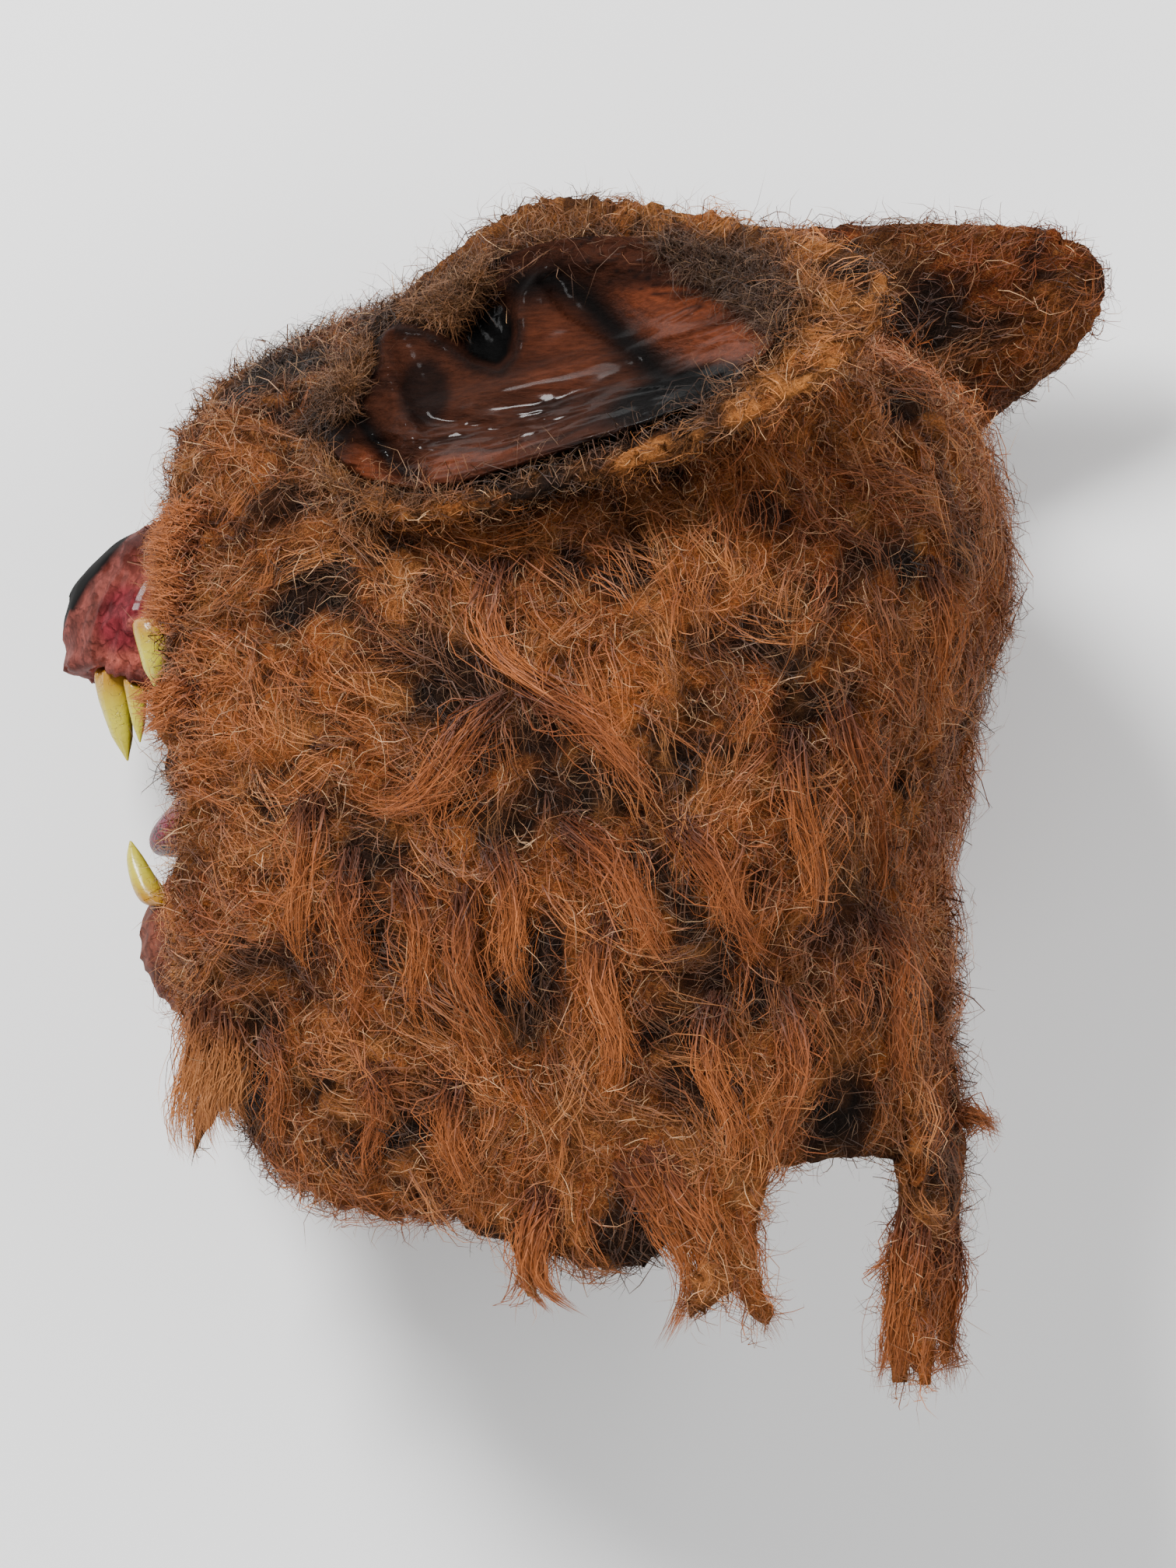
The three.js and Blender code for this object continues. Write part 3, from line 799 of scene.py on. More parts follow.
# %% [markdown]
# Both fur materials read the colour kept in the mesh. The wool adds fibres too fine for a mesh: a noise
# for the felted ground, and the lines where a smooth noise passes its middle value, which curl like hair.
# %% Fur materials
fur_finish = Finish("fur")
fur_material = fur_finish.set(
    Base_Color=fur_finish.attribute("fur_colour"),
    Roughness=0.6,
    Specular_IOR_Level=0.3,
)
wool_finish = Finish("wool")
wool_fibres = wool_finish.noise(1300, 6, 0.75)
wool_light = wool_finish.between(wool_fibres, 0.3, 0.75)
wool_light = wool_finish.mix(wool_light, (0.5, 0.46, 0.44), (2.0, 1.9, 1.8))
wool_curls = wool_finish.curls(4.5 * MM, 0.03).or_more(wool_finish.curls(2.2 * MM, 0.04))
wool_lit = wool_finish.between(wool_finish.attribute("fur_colour", "Fac"), 0.008, 0.07)
wool_ground = wool_finish.tinted(wool_finish.attribute("fur_colour"), wool_light)
wool_material = wool_finish.set(
    Base_Color=wool_finish.mix(wool_curls * wool_lit * 0.35, wool_ground, tuple(HONEY)),
    Roughness=0.9,
    Specular_IOR_Level=0.1,
    Normal=wool_finish.bump(wool_fibres + wool_curls * 0.3, 2.2 * MM, 0.8),
)
print("fur materials:", fur_material.name, wool_material.name)

# %% [markdown]
# Dark places of the photograph, where the locks part, are given in its pixels by their middle, half their
# width and height, and their turn in degrees. There the dark backing shows, and the shade of these hollows
# is painted into the colours of the fur over them. They are used on the side that the photograph shows.
# Random patches and specks of the same dark are strewn over the whole mask.
# %% Dark places
SHADE_AND_BACKING_PLACES = [
    (591, 877, 62, 58, 20), (415, 739, 44, 20, 20), (445, 785, 32, 13, 20), (629, 1053, 48, 26, 10),
    (713, 1023, 52, 24, 10), (476, 1092, 28, 42, 0), (484, 1183, 24, 52, 0), (771, 728, 60, 26, 0),
    (859, 958, 42, 15, 10), (357, 1026, 22, 14, 0), (687, 1214, 20, 26, 0), (836, 1118, 50, 25, 20),
    (361, 984, 24, 11, 0), (1003, 832, 32, 25, 0), (1237, 708, 22, 34, 0), (1144, 728, 48, 17, 0),
    (1213, 870, 46, 12, -45), (1061, 900, 26, 28, 0), (903, 959, 60, 15, 5), (820, 732, 42, 30, 0),
    (1154, 1007, 13, 12, 0), (1037, 1041, 24, 32, 0), (992, 660, 24, 18, 0), (1084, 1440, 40, 74, 0),
    (324, 1368, 32, 80, 10), (503, 1203, 20, 25, 0), (671, 1276, 45, 55, 0), (403, 1394, 14, 28, 0),
    (503, 1448, 40, 22, 0), (464, 1486, 30, 18, 0), (656, 1586, 60, 16, 8), (709, 1216, 22, 45, 0),
    (812, 1584, 50, 62, 0), (893, 1382, 40, 55, 0), (852, 1127, 45, 22, 0), (924, 1216, 28, 50, -35),
    (987, 1275, 48, 22, 0), (1112, 1279, 14, 30, 0), (1143, 1530, 16, 40, 0), (1202, 1297, 14, 12, 0),
    (1228, 1378, 12, 20, 0), (1228, 1539, 10, 25, 0), (969, 1113, 18, 15, 0), (879, 1315, 40, 20, 0),
    (429, 547, 26, 46, 0), (401, 512, 45, 12, 0), (367, 471, 40, 18, -10), (470, 409, 50, 12, -10),
    (315, 505, 20, 14, 0), (384, 736, 50, 15, 10), (298, 671, 26, 12, 15), (511, 698, 55, 12, 5),
    (642, 739, 40, 20, 0), (260, 643, 10, 9, 0), (329, 643, 12, 20, 0), (680, 628, 80, 15, -8),
    (860, 548, 66, 17, -25), (1325, 345, 24, 28, 0), (1428, 340, 14, 34, 0), (1185, 410, 52, 46, 0),
    (1160, 525, 30, 26, 0), (1090, 350, 26, 30, 0), (690, 940, 46, 34, 35), (790, 1012, 44, 24, 35),
    (880, 1175, 30, 46, -30),
]
FAR_EAR_CORNER = (1040, 620)  # the far ear shows to the right of this place and above it
RAGGED_SIZE = 22 * MM
RAGGED_EDGE = 17
SOFT_EDGE = (0.75, 1.45)
SHOWN_SIDE = (80 * MM, 120 * MM)
PATCH_SIZE = 46 * MM
SPECK_SIZE = 17 * MM


def shade_and_backing(points):
    """How far a place lies in one of the dark places, 0 to 1: where the backing shows and shade is painted.
    """
    ragged = np.stack([waves(points, RAGGED_SIZE, 61), waves(points, RAGGED_SIZE, 62)], axis=-1)
    seen = in_picture(points) + RAGGED_EDGE * ragged
    dark = np.zeros(len(points))
    for place in SHADE_AND_BACKING_PLACES:
        dark = np.maximum(dark, inside(seen, *place, soft=SOFT_EDGE))
    on_far_ear = (seen[:, 0] > FAR_EAR_CORNER[0]) & (seen[:, 1] < FAR_EAR_CORNER[1])
    shown = np.maximum(smooth_step(points[:, 2], *SHOWN_SIDE), on_far_ear)
    patches = smooth_step(waves(points, PATCH_SIZE, 5), 0.5, 1.1)
    specks = smooth_step(waves(points, SPECK_SIZE, 6), 0.55, 1.1)
    return np.maximum(dark * shown, np.maximum(0.7 * patches, 0.65 * specks))


print("dark places:", len(SHADE_AND_BACKING_PLACES))

# %% [markdown]
# The fur lies backwards on the muzzle, brow and crown, and more and more downwards over the cheek and the
# nape, with swirls where the pile is matted. At the hem the swirls fade, so that the locks hang down.
# %% Lie of the hood's fur
SWIRLS = ((0.75, 70 * MM, 1), (0.45, 28 * MM, 2))


def hood_lie(points, normals):
    place = to_head(points) / MM
    front = 1 - smooth_step(place[:, 0], -110, 60)
    high = smooth_step(place[:, 1], 40, 140)
    down = np.clip(0.9 - 0.65 * front - 0.5 * high, 0.12, 1)
    down += 0.7 * (1 - smooth_step(place[:, 1], -130, -70))
    back = 0.25 + 0.8 * front + 0.5 * high
    way = BACK * back[:, None] - UP * down[:, None]
    swirl = sum(strength * waves(points, size, seed) for strength, size, seed in SWIRLS)
    calm = smooth_step(place[:, 1], -150, -100)
    return turned(flattened(way, normals), normals, swirl * calm)


# %% [markdown]
# The hood's pile is 20 to 54 mm long on cheek and nape, and about half as long on the brow. Roots are
# spread over the outer side of the backing, thinner where it lies on the table and in the dark places.
# %% Guides of the hood
SEED = 9640
HOOD_GAP = 6.6 * MM
# The pile's length, its height over the backing and half a lock's width, in millimetres.
PILE_LENGTH, LONGEST_MORE = (20, 44), 10
PILE_LIFT = (3.0, 8.5)
LOCK_SPREAD = (4.5, 7.0)
NAPE_AND_LOCKS = -113  # below this height of the head's frame, fur grows on the inner side too
EYE_AT, EYE_RADIUS = (91, 30), 9
EYE_BEHIND = 60  # the eye holes lie further than this in front of the head's middle
FAR = 10  # each millimetre behind that counts as so many
YELLOW_SPOT = (240, 1310, 12, 15)
ROOTS_TRIED = 3.5
HOOD_CURL, HOOD_WAVE = 0.16, 0.3
draw = np.random.default_rng(SEED)


def hood_colours(points, dark, draw):
    """Colours of the locks at root and tip: rust to honey, brown on the brow, black in the dark places as
    painted shade.
    """
    place = to_head(points) / MM
    tone = draw.random(len(points))
    tip = blended(RUST, HONEY, smooth_step(tone, 0.5, 1.1) * 0.8)
    tip = blended(tip, RUST_DEEP, smooth_step(waves(points, 60 * MM, 8), 0.1, 1.2) * 0.7)
    brown_brow = smooth_step(place[:, 1], 60, 125) * (1 - smooth_step(place[:, 0], -40, 60))
    tip = blended(tip, BROWN, brown_brow * (0.55 + 0.4 * draw.random(len(points))))
    tip = blended(tip, BROWN, smooth_step(waves(points, 30 * MM, 9), 0.0, 1.2) * 0.75)
    tip = blended(tip, YELLOW_GREEN, inside(in_picture(points), *YELLOW_SPOT))
    # Near black in the dark places: painted shade where the locks part.
    black = np.clip(dark * 1.1 - 0.4 * tone, 0, 1)
    tip = blended(tip, DARK * 1.8, black * 0.9)
    root = blended(RUST_DEEP * 0.9, DARK, np.maximum(0.2, black))
    return root, tip


def off_the_eyes(points):
    """Distance in millimetres from the middle line of the nearer eye hole."""
    place = to_head(points) / MM
    ahead = np.maximum(0, place[..., 0] + EYE_BEHIND) * FAR
    return np.hypot(place[..., 1] - EYE_AT[0], np.abs(place[..., 2]) - EYE_AT[1]) + ahead


def roots_on(backing, gap, wanted, draw):
    """Evenly scattered roots on the triangles of a backing that are wanted."""
    corner, normal, area = faces_of(backing)
    weight = area * wanted(corner.mean(axis=1), normal)
    total = int(area[weight > 0].sum() / gap ** 2 * ROOTS_TRIED)
    points, facing = scatter_on(corner, normal, weight, total, draw)
    kept = spaced(points, gap)
    return points[kept], facing[kept]


def hood_outside(middle, normal):
    """How much fur starts at a place: none inside the mask or at the eyes, less where it lies down."""
    head, ahead = to_head(middle) / MM, normal @ AXES.T
    outwards = head[:, 0] * ahead[:, 0] + head[:, 2] * ahead[:, 2]
    outwards += np.maximum(head[:, 1] - 60, 0) * ahead[:, 1]
    outer = (outwards > 20) | (head[:, 1] < NAPE_AND_LOCKS)
    clear = off_the_eyes(middle) > EYE_RADIUS + 3
    return outer * clear * (0.45 + 0.55 * smooth_step(normal[:, 2], -0.75, -0.2))


def hood_guides(draw):
    points, facing = roots_on(hood_backing, HOOD_GAP, hood_outside, draw)
    dark = shade_and_backing(points)
    kept = draw.random(len(points)) > 0.6 * dark
    points, facing, dark = points[kept], facing[kept], dark[kept]
    count = len(points)
    place = to_head(points) / MM
    brow = smooth_step(place[:, 1], 70, 120) * (1 - smooth_step(place[:, 0], -60, 20))
    length = draw.uniform(*PILE_LENGTH, count) + LONGEST_MORE * draw.random(count) ** 3
    length = length * (1 - 0.5 * brow) * (1 - 0.35 * dark)
    lift = draw.uniform(*PILE_LIFT, count) * (1 - 0.5 * brow) * (1 - 0.55 * dark)
    width = draw.uniform(*LOCK_SPREAD, count) * (1 - 0.35 * brow)
    curl = draw.normal(0, HOOD_CURL, count)
    colours = hood_colours(points, dark, draw)
    made = Guides(points, facing, length * MM, lift * MM, curl, width * MM, *colours)
    made.walk(surface_of(hood_backing), hood_lie, HOOD_WAVE, draw)
    # A lock that runs into a dark place gets a darker tip, as painted shade.
    ahead = shade_and_backing(made.path[:, GUIDE_POINTS // 2 + 1])
    made.tip_colour = blended(made.tip_colour, BROWN * 0.4, 0.85 * ahead)
    clear = off_the_eyes(made.path).min(axis=1) > EYE_RADIUS + 2
    return made.part(np.flatnonzero(clear & (draw.random(count) > 0.7 * ahead)))


hood = hood_guides(draw)
print("guides of the hood:", len(hood.roots))

# %% [markdown]
# The fur is split into several pieces, so that none grows too heavy: locks first, then fuzz over them.
# %% Fur of the hood
LOCK_PIECES = 2
FUZZ_PIECES = 2
HOOD_LOCK = {
    "strands": 13, "clump": (0.1, 0.7), "frizz": 1.1 * MM, "width": 0.34 * MM, "points": 5,
    "reach": (0.55, 1.1),
}
HOOD_FUZZ = {"count": 27000, "length": 8 * MM, "width": 0.26 * MM}

hood_wool = wool(hood_backing, "hood_wool", hood, WOOL_REACH)
hood_fur = []
parts = np.array_split(draw.permutation(len(hood.roots)), LOCK_PIECES)
for number, part in enumerate(parts, 1):
    hood_fur.append(ribbons(f"hood_locks_{number}", hood.part(part), draw, **HOOD_LOCK))
for number in range(1, FUZZ_PIECES + 1):
    hood_fur.append(fuzz(f"hood_fuzz_{number}", hood_wool, hood_outside, draw, **HOOD_FUZZ))

# %% [markdown]
# Some locks of the photograph can be told one by one: the blunt lock under the chin, the ones that hang at
# the hem, the thin tips of the strip at the nape, the short ones at the lip and the edge of the snout, and
# the long locks of the cheek. Each is drawn along its own line of picture points. A hanging lock starts at
# the height of the fur and sinks a little towards its tip. A lock of the cheek lies on the fur all the way.
# %% Single locks
CHIN_LOCKS = [
    [(262, 1285), (254, 1350), (232, 1410), (222, 1450), (238, 1494)],
    [(278, 1290), (270, 1350), (256, 1405), (240, 1450), (254, 1500)],
    [(292, 1300), (290, 1355), (268, 1410), (264, 1445), (278, 1484)],
    [(302, 1310), (300, 1365), (286, 1410), (288, 1440), (304, 1466)],
    [(308, 1320), (312, 1370), (300, 1405), (306, 1432), (318, 1452)],
]
HEM_LOCKS = [
    [(700, 1530), (676, 1590), (670, 1650), (712, 1690)],
    [(715, 1540), (690, 1600), (690, 1655), (742, 1686)],
    [(800, 1500), (850, 1570), (900, 1640), (850, 1735)],
    [(820, 1490), (880, 1560), (925, 1650), (870, 1715)],
    [(840, 1480), (900, 1560), (940, 1655), (985, 1672), (1003, 1730)],
    [(860, 1500), (930, 1570), (955, 1640), (1000, 1700)],
]
NAPE_LOCKS = [
    [(1165, 1560), (1150, 1650), (1140, 1730), (1128, 1792)],
    [(1185, 1580), (1172, 1660), (1160, 1730), (1148, 1785)],
    [(1205, 1600), (1196, 1670), (1192, 1730), (1190, 1782)],
    [(1225, 1600), (1222, 1670), (1220, 1740), (1226, 1796)],
    [(1225, 1430), (1250, 1434), (1272, 1442), (1290, 1457)],
]
LIP_LOCKS = [
    [(252, 878), (222, 888), (192, 897), (160, 900)],
    [(254, 890), (226, 901), (198, 911), (168, 920)],
    [(252, 902), (228, 916), (204, 930), (180, 942)],
]
CHEEK_LOCKS = [
    [(645, 726), (622, 790), (640, 850), (700, 880), (760, 925)],
    [(672, 877), (746, 917), (816, 988), (857, 1058)],
    [(650, 905), (590, 960), (545, 1030), (470, 1050)],
    [(610, 915), (565, 1008), (504, 1053), (445, 1020)],
    [(400, 1030), (392, 1110), (380, 1190), (398, 1262)],
    [(455, 1105), (440, 1180), (470, 1250), (450, 1330)],
    [(520, 1130), (548, 1200), (530, 1280), (560, 1350)],
    [(600, 1150), (585, 1230), (612, 1300), (660, 1385)],
    [(640, 1090), (668, 1160), (650, 1235), (690, 1300)],
    [(730, 1060), (800, 1110), (830, 1190), (880, 1260)],
    [(780, 1180), (760, 1260), (800, 1340), (780, 1430)],
    [(870, 1060), (930, 1120), (950, 1200), (1000, 1250)],
    [(1015, 950), (1020, 1040), (1050, 1110), (1040, 1200)],
    [(1075, 905), (1100, 1000), (1140, 1090), (1110, 1180)],
    [(1190, 730), (1212, 810), (1190, 900), (1200, 985)],
    [(1120, 1180), (1160, 1260), (1150, 1350), (1175, 1430)],
    [(920, 1290), (900, 1370), (950, 1440), (935, 1530)],
    [(1000, 1280), (1030, 1350), (1015, 1430), (985, 1500)],
    [(350, 1330), (372, 1400), (352, 1450), (380, 1500)],
    [(480, 1370), (500, 1430), (470, 1480), (490, 1530)],
    [(590, 1390), (570, 1460), (610, 1520), (600, 1570)],
]
HANGING_LOCK = {
    "strands": 150, "clump": (0.3, 0.75), "frizz": 1.3 * MM, "width": 0.34 * MM, "points": 8,
    "reach": (0.6, 1.02),
}
LYING_LOCK = {
    "strands": 120, "clump": (0.0, 0.5), "frizz": 2.2 * MM, "width": 0.32 * MM, "points": 8,
    "reach": (0.6, 1.02),
}
CHEEK_SPREAD = 5.0 * MM
CHEEK_RISE = 4 * MM
SNOUT_EDGE = [(200, 655), (180, 700), (184, 742), (180, 770), (176, 788)]
SNOUT_EDGE_LOCKS = 9
SNOUT_EDGE_LOCK = [(66, 10), (44, 5), (20, 0), (0, 0)]  # steps from the edge of the snout
LONGEST_DROP = 12 * MM


def evenly(line, count):
    """Points at equal steps along a line of picture points, with rounded turns."""
    line = np.array(line, float)
    passed = np.concatenate([[0], np.cumsum(np.linalg.norm(np.diff(line, axis=0), axis=1))])
    wanted = np.linspace(0, passed[-1], count)
    even = np.stack([np.interp(wanted, passed, line[:, axis]) for axis in (0, 1)], axis=-1)
    even[1:-1] = (even[:-2] + 2 * even[1:-1] + even[2:]) / 4
    return even


def height_seen(surface, seen, otherwise):
    """How high the surface lies where the camera sees it at a picture point."""
    aim = from_picture(seen, 0.0) - CAMERA_AT
    hit, _, _, _ = surface.ray_cast(Vector(CAMERA_AT), Vector(aim))
    return hit[2] if hit else otherwise


def hanging_path(line, surface):
    """A lock that starts at the height of the fur and hangs free, a little lower towards its tip."""
    even = evenly(line, GUIDE_POINTS)
    drop = LONGEST_DROP * np.linspace(0, 1, GUIDE_POINTS) ** 2
    return from_picture(even, height_seen(surface, even[0], MIDDLE_HEIGHT) - drop)


def lying_path(line, surface):
    """A lock that lies on the fur and is lifted off it between its ends."""
    even = evenly(line, GUIDE_POINTS)
    heights = np.array([height_seen(surface, seen, MIDDLE_HEIGHT) for seen in even])
    rise = CHEEK_RISE * (0.3 + 0.7 * np.sin(math.pi * np.linspace(0, 1, GUIDE_POINTS)))
    return from_picture(even, heights + rise)


def single_locks(paths, spread, root, tip):
    """Guides that follow given paths, and need no walk over the backing."""
    count = len(paths)
    upright, colours = all_over([0.0, 0.0, 1.0], count), (all_over(root, count), all_over(tip, count))
    made = Guides(np.array(paths)[:, 0], upright, None, None, None, np.full(count, spread), *colours)
    made.path = np.array(paths)
    return made


snout_locks = [place + np.array(SNOUT_EDGE_LOCK) for place in evenly(SNOUT_EDGE, SNOUT_EDGE_LOCKS)]
hood_surface = surface_of(hood_wool)
for name, lines, spread, root, tip in (
    ("snout_edge_locks", snout_locks, 4.2 * MM, RUST_DEEP, RUST * 0.9),
    ("lip_locks", LIP_LOCKS, 3.0 * MM, RUST_DEEP, RUST),
    ("chin_locks", CHIN_LOCKS, 4.8 * MM, RUST_DEEP * 0.8, HONEY * 0.55 + RUST_DEEP * 0.45),
    ("hem_locks", HEM_LOCKS, 4.0 * MM, RUST_DEEP, RUST),
    ("nape_locks", NAPE_LOCKS, 3.2 * MM, RUST_DEEP, RUST * 0.9),
):
    locks = single_locks([hanging_path(line, hood_surface) for line in lines], spread, root, tip)
    hood_fur.append(ribbons(name, locks, draw, **HANGING_LOCK))
for name, lines, tip in (
    ("cheek_locks_1", CHEEK_LOCKS[::2], RUST),
    ("cheek_locks_2", CHEEK_LOCKS[1::2], RUST * 0.6 + RUST_DEEP * 0.4),
):
    paths = [lying_path(line, hood_surface) for line in lines]
    locks = single_locks(paths, CHEEK_SPREAD, RUST_DEEP * 0.7, tip)
    hood_fur.append(ribbons(name, locks, draw, **LYING_LOCK))

# %% [markdown]
# An ear is a long cup. Its own frame runs from its lower corner to its tip, and the same named values as in
# the solids say where its rim is, so that fur and leather can be told apart by how far out a point lies.
# %% Frames of the ears
EAR_START = np.array([-52.0, 118.0, 92.0])
EAR_TIP = np.array([103.0, 144.0, 105.0])
EAR_ACROSS = np.array([0.0, 0.83, -0.55])
EAR_HALF_WIDTH = 48
EAR_BOW = 7
FAR_EAR_LIFTS = (np.array([0.0, -15.0, 0.0]), np.array([6.0, 19.0, 0.0]))


class Ear:
    """An ear's own frame, in millimetres of the head's frame."""

    def __init__(self, left):
        start, tip = EAR_START, EAR_TIP
        if not left:
            start, tip = start + FAR_EAR_LIFTS[0], tip + FAR_EAR_LIFTS[1]
        self.mirror = np.array([1.0, 1.0, 1.0 if left else -1.0])
        self.start, self.length = start, np.linalg.norm(tip - start)
        self.ahead = (tip - start) / self.length
        self.out = unit(np.cross(self.ahead, EAR_ACROSS))
        self.across = np.cross(self.out, self.ahead)

    def middle(self, share):
        """Half the leather's width at a share of its length, and how far its middle bows sideways."""
        return EAR_HALF_WIDTH * (1.06 - 0.36 * share), EAR_BOW * np.sin(math.pi * share)

    def place(self, points):
        """Share of the ear's length, and place across it, which is -1 and 1 at the leather's edges."""
        local = to_head(points) / MM * self.mirror - self.start
        share = local @ self.ahead / self.length
        width, bow = self.middle(np.clip(share, 0, 1))
        return share, (local @ self.across - bow) / width

    def off_middle(self, points):
        """Distance from the middle of the leather in shares of its size: 1 at its edge."""
        share, across = self.place(points)
        return np.hypot((share - 0.5) * 2, across)

    def frontness(self, normals, low, high):
        """1 where a surface faces the way that the leather does, falling to 0 where it faces away."""
        return smooth_step(normals @ self.turn((0, 0, 1)), low, high)

    def turn(self, vector):
        """A direction of the ear's frame (ahead, across, out) in the world."""
        local = vector[0] * self.ahead + vector[1] * self.across + vector[2] * self.out
        return (local * self.mirror) @ AXES


EARS = {"left": Ear(True), "right": Ear(False)}
print("length of the ears:", [round(ear.length) for ear in EARS.values()], "mm")

# %% [markdown]
# The fur of the ears is shorter than the hood's. Round the leather it stands out from it on all sides, with
# a black edge, and on the back it lies towards the tip.
# %% Fur of the ears
EAR_GAP = 4.6 * MM
EAR_BACKING = {"voxel": 2.6 * MM, "depth": 2.6 * MM, "rounds": 3}
# The pile's length, its height over the backing and half a lock's width, in millimetres.
EAR_PILE_LENGTH = (13, 22)
EAR_PILE_LIFT = (2.0, 4.6)
EAR_LOCK_SPREAD = (3.2, 4.7)
EAR_CURL, EAR_WAVE = 0.22, 0.35
EAR_SWIRL = 0.6
EAR_LOCK = {
    "strands": 7, "clump": (0.1, 0.5), "frizz": 0.9 * MM, "width": 0.32 * MM, "points": 5,
    "reach": (0.6, 1.25),
}
EAR_FUZZ = {"count": 5000, "length": 7 * MM, "width": 0.24 * MM}
EAR_WOOL_REACH = 5 * MM
EAR_SINK = 4 * MM
LEATHER_END = 1.0


def ear_lie(ear):
    """How an ear's fur lies: away from the leather on the front, and towards the tip on the back."""
    def lie(points, normals):
        share, across = ear.place(points)
        off = unit(np.stack([(share - 0.5) * 2, across * 0.9], axis=-1))
        front = ear.frontness(normals, -0.2, 0.5)
        ahead = off[:, 0] * front + 1.0 * (1 - front)
        sideways = off[:, 1] * front + 0.25 * (1 - front)
        way = ahead[:, None] * ear.turn((1, 0, 0)) + sideways[:, None] * ear.turn((0, 1, 0))
        return turned(flattened(way, normals), normals, EAR_SWIRL * waves(points, 30 * MM, 12))
    return lie


def off_leather(ear):
    """Which places of an ear's fur its leather doesn't cover."""
    def wanted(middle, normal):
        beside = ear.off_middle(middle) > LEATHER_END
        return (beside | (normal @ ear.turn((0, 0, 1)) < 0)).astype(float)
    return wanted


def sink_under_leather(ear, piece):
    """The front of the wool is drawn back, where the leather with its hollows is laid over it, and painted
    black as the shade under the leather.
    """
    points = corners(piece)
    covered = 1 - smooth_step(ear.off_middle(points), 0.92, LEATHER_END + 0.05)
    covered = covered * ear.frontness(corner_normals(piece), 0.0, 0.5)
    set_corners(piece, points - ear.turn((0, 0, 1)) * (EAR_SINK * covered)[:, None])
    # Black as painted shade where the leather covers the wool.
    colour = blended(paint_of(piece.data, "fur_colour"), LATEX_BLACK, covered)
    paint_points(piece.data, "fur_colour", colour)


def ear_guides(ear, backing, near_side, draw):
    """The locks of an ear: tan on the near ear, brown to rust on the far one, black at the leather, and
    darker as painted shade in the dark places.
    """
    points, facing = roots_on(backing, EAR_GAP, off_leather(ear), draw)
    share, across = ear.place(points)
    count = len(points)
    rim = ear.frontness(facing, -0.2, 0.4) * (1 - smooth_step(ear.off_middle(points), 1.0, 1.15))
    # Painted shade of the dark places, and the black edge round the leather.
    dark = np.maximum(shade_and_backing(points) * 0.9, rim * 0.95)
    tone = draw.random(count)
    if near_side:
        tip = blended(TAN, RUST, tone * 0.8)
        tip = blended(tip, BROWN, (1 - smooth_step(share, 0.35, 0.85)) * 0.8 * (across > 0))
    else:
        rusty = smooth_step(waves(points, 40 * MM, 14) + 0.6 * tone, -0.5, 1.2)
        tip = blended(BROWN * 1.05, RUST_DEEP * 1.1, rusty)
        tip = blended(tip, RUST * 0.9, smooth_step(share, 0.55, 1.1) * 0.6 * (across < 0.2))
    tip = blended(tip, DARK * 1.3, dark * 0.9)
    root = blended(RUST_DEEP * 0.5, DARK, 0.3 + 0.6 * dark)
    length = draw.uniform(*EAR_PILE_LENGTH, count) * (1 - 0.4 * dark)
    lift = draw.uniform(*EAR_PILE_LIFT, count) * (1 - 0.4 * dark)
    curl = draw.normal(0, EAR_CURL, count)
    width = draw.uniform(*EAR_LOCK_SPREAD, count)
    made = Guides(points, facing, length * MM, lift * MM, curl, width * MM, root, tip)
    made.walk(surface_of(backing), ear_lie(ear), EAR_WAVE, draw)
    return made


ear_pieces = {}
for side, ear in EARS.items():
    backing = backing_of(f"{side}_ear_fur", f"{side}_ear_backing", **EAR_BACKING)
    guides = ear_guides(ear, backing, side == "left", draw)
    soft = wool(backing, f"{side}_ear_wool", guides, EAR_WOOL_REACH)
    sink_under_leather(ear, soft)
    hair = ribbons(f"{side}_ear_hair", guides, draw, **EAR_LOCK)
    down = fuzz(f"{side}_ear_fuzz", soft, off_leather(ear), draw, **EAR_FUZZ)
    bpy.data.objects.remove(backing)
    ear_pieces[side] = (soft, hair, down)
    print(side, "ear guides:", len(guides.roots), "wool faces:", len(soft.data.polygons))

# %% [markdown]
# The leather-like inner side of the near ear is what the photograph shows best. It is a fine grid laid over
# the ear's cup and raised or sunk by named features: lines that are ridges or valleys, given by their
# places in the photograph, and a grain that runs along the ear. A voxel sculpt would give the same forms,
# but features kept as numbers can be read and changed.
# %% Helpers for relief
def grain(u, v, size_u, size_v, seed):
    """Smooth random values from -1 to 1, as large as the given sizes."""
    x, y = u / size_u, v / size_v
    column, row = np.floor(x), np.floor(y)
    fx, fy = x - column, y - row
    fx, fy = fx * fx * (3 - 2 * fx), fy * fy * (3 - 2 * fy)

    def at(i, j):
        wave = np.sin(i * 127.1 + j * 311.7 + seed * 74.7) * 43758.5453
        return 2 * (wave - np.floor(wave)) - 1

    low = at(column, row) * (1 - fx) + at(column + 1, row) * fx
    high = at(column, row + 1) * (1 - fx) + at(column + 1, row + 1) * fx
    return low * (1 - fy) + high * fy


def to_line(seen, line):
    """Distance from a line through picture points, and how far along the line the nearest point is."""
    line = np.array(line, float)
    steps = line[1:] - line[:-1]
    lengths = np.linalg.norm(steps, axis=1)
    passed = np.concatenate([[0], np.cumsum(lengths)])
    best = np.full(len(seen), 1e9)
    share = np.zeros(len(seen))
    for start, step, length, before in zip(line, steps, lengths, passed):
        gap = seen - start
        at = np.clip(gap @ step / length ** 2, 0, 1)
        distance = np.linalg.norm(gap - at[:, None] * step, axis=1)
        nearer = distance < best
        best[nearer] = distance[nearer]
        share[nearer] = (before + at[nearer] * length) / passed[-1]
    return best, share


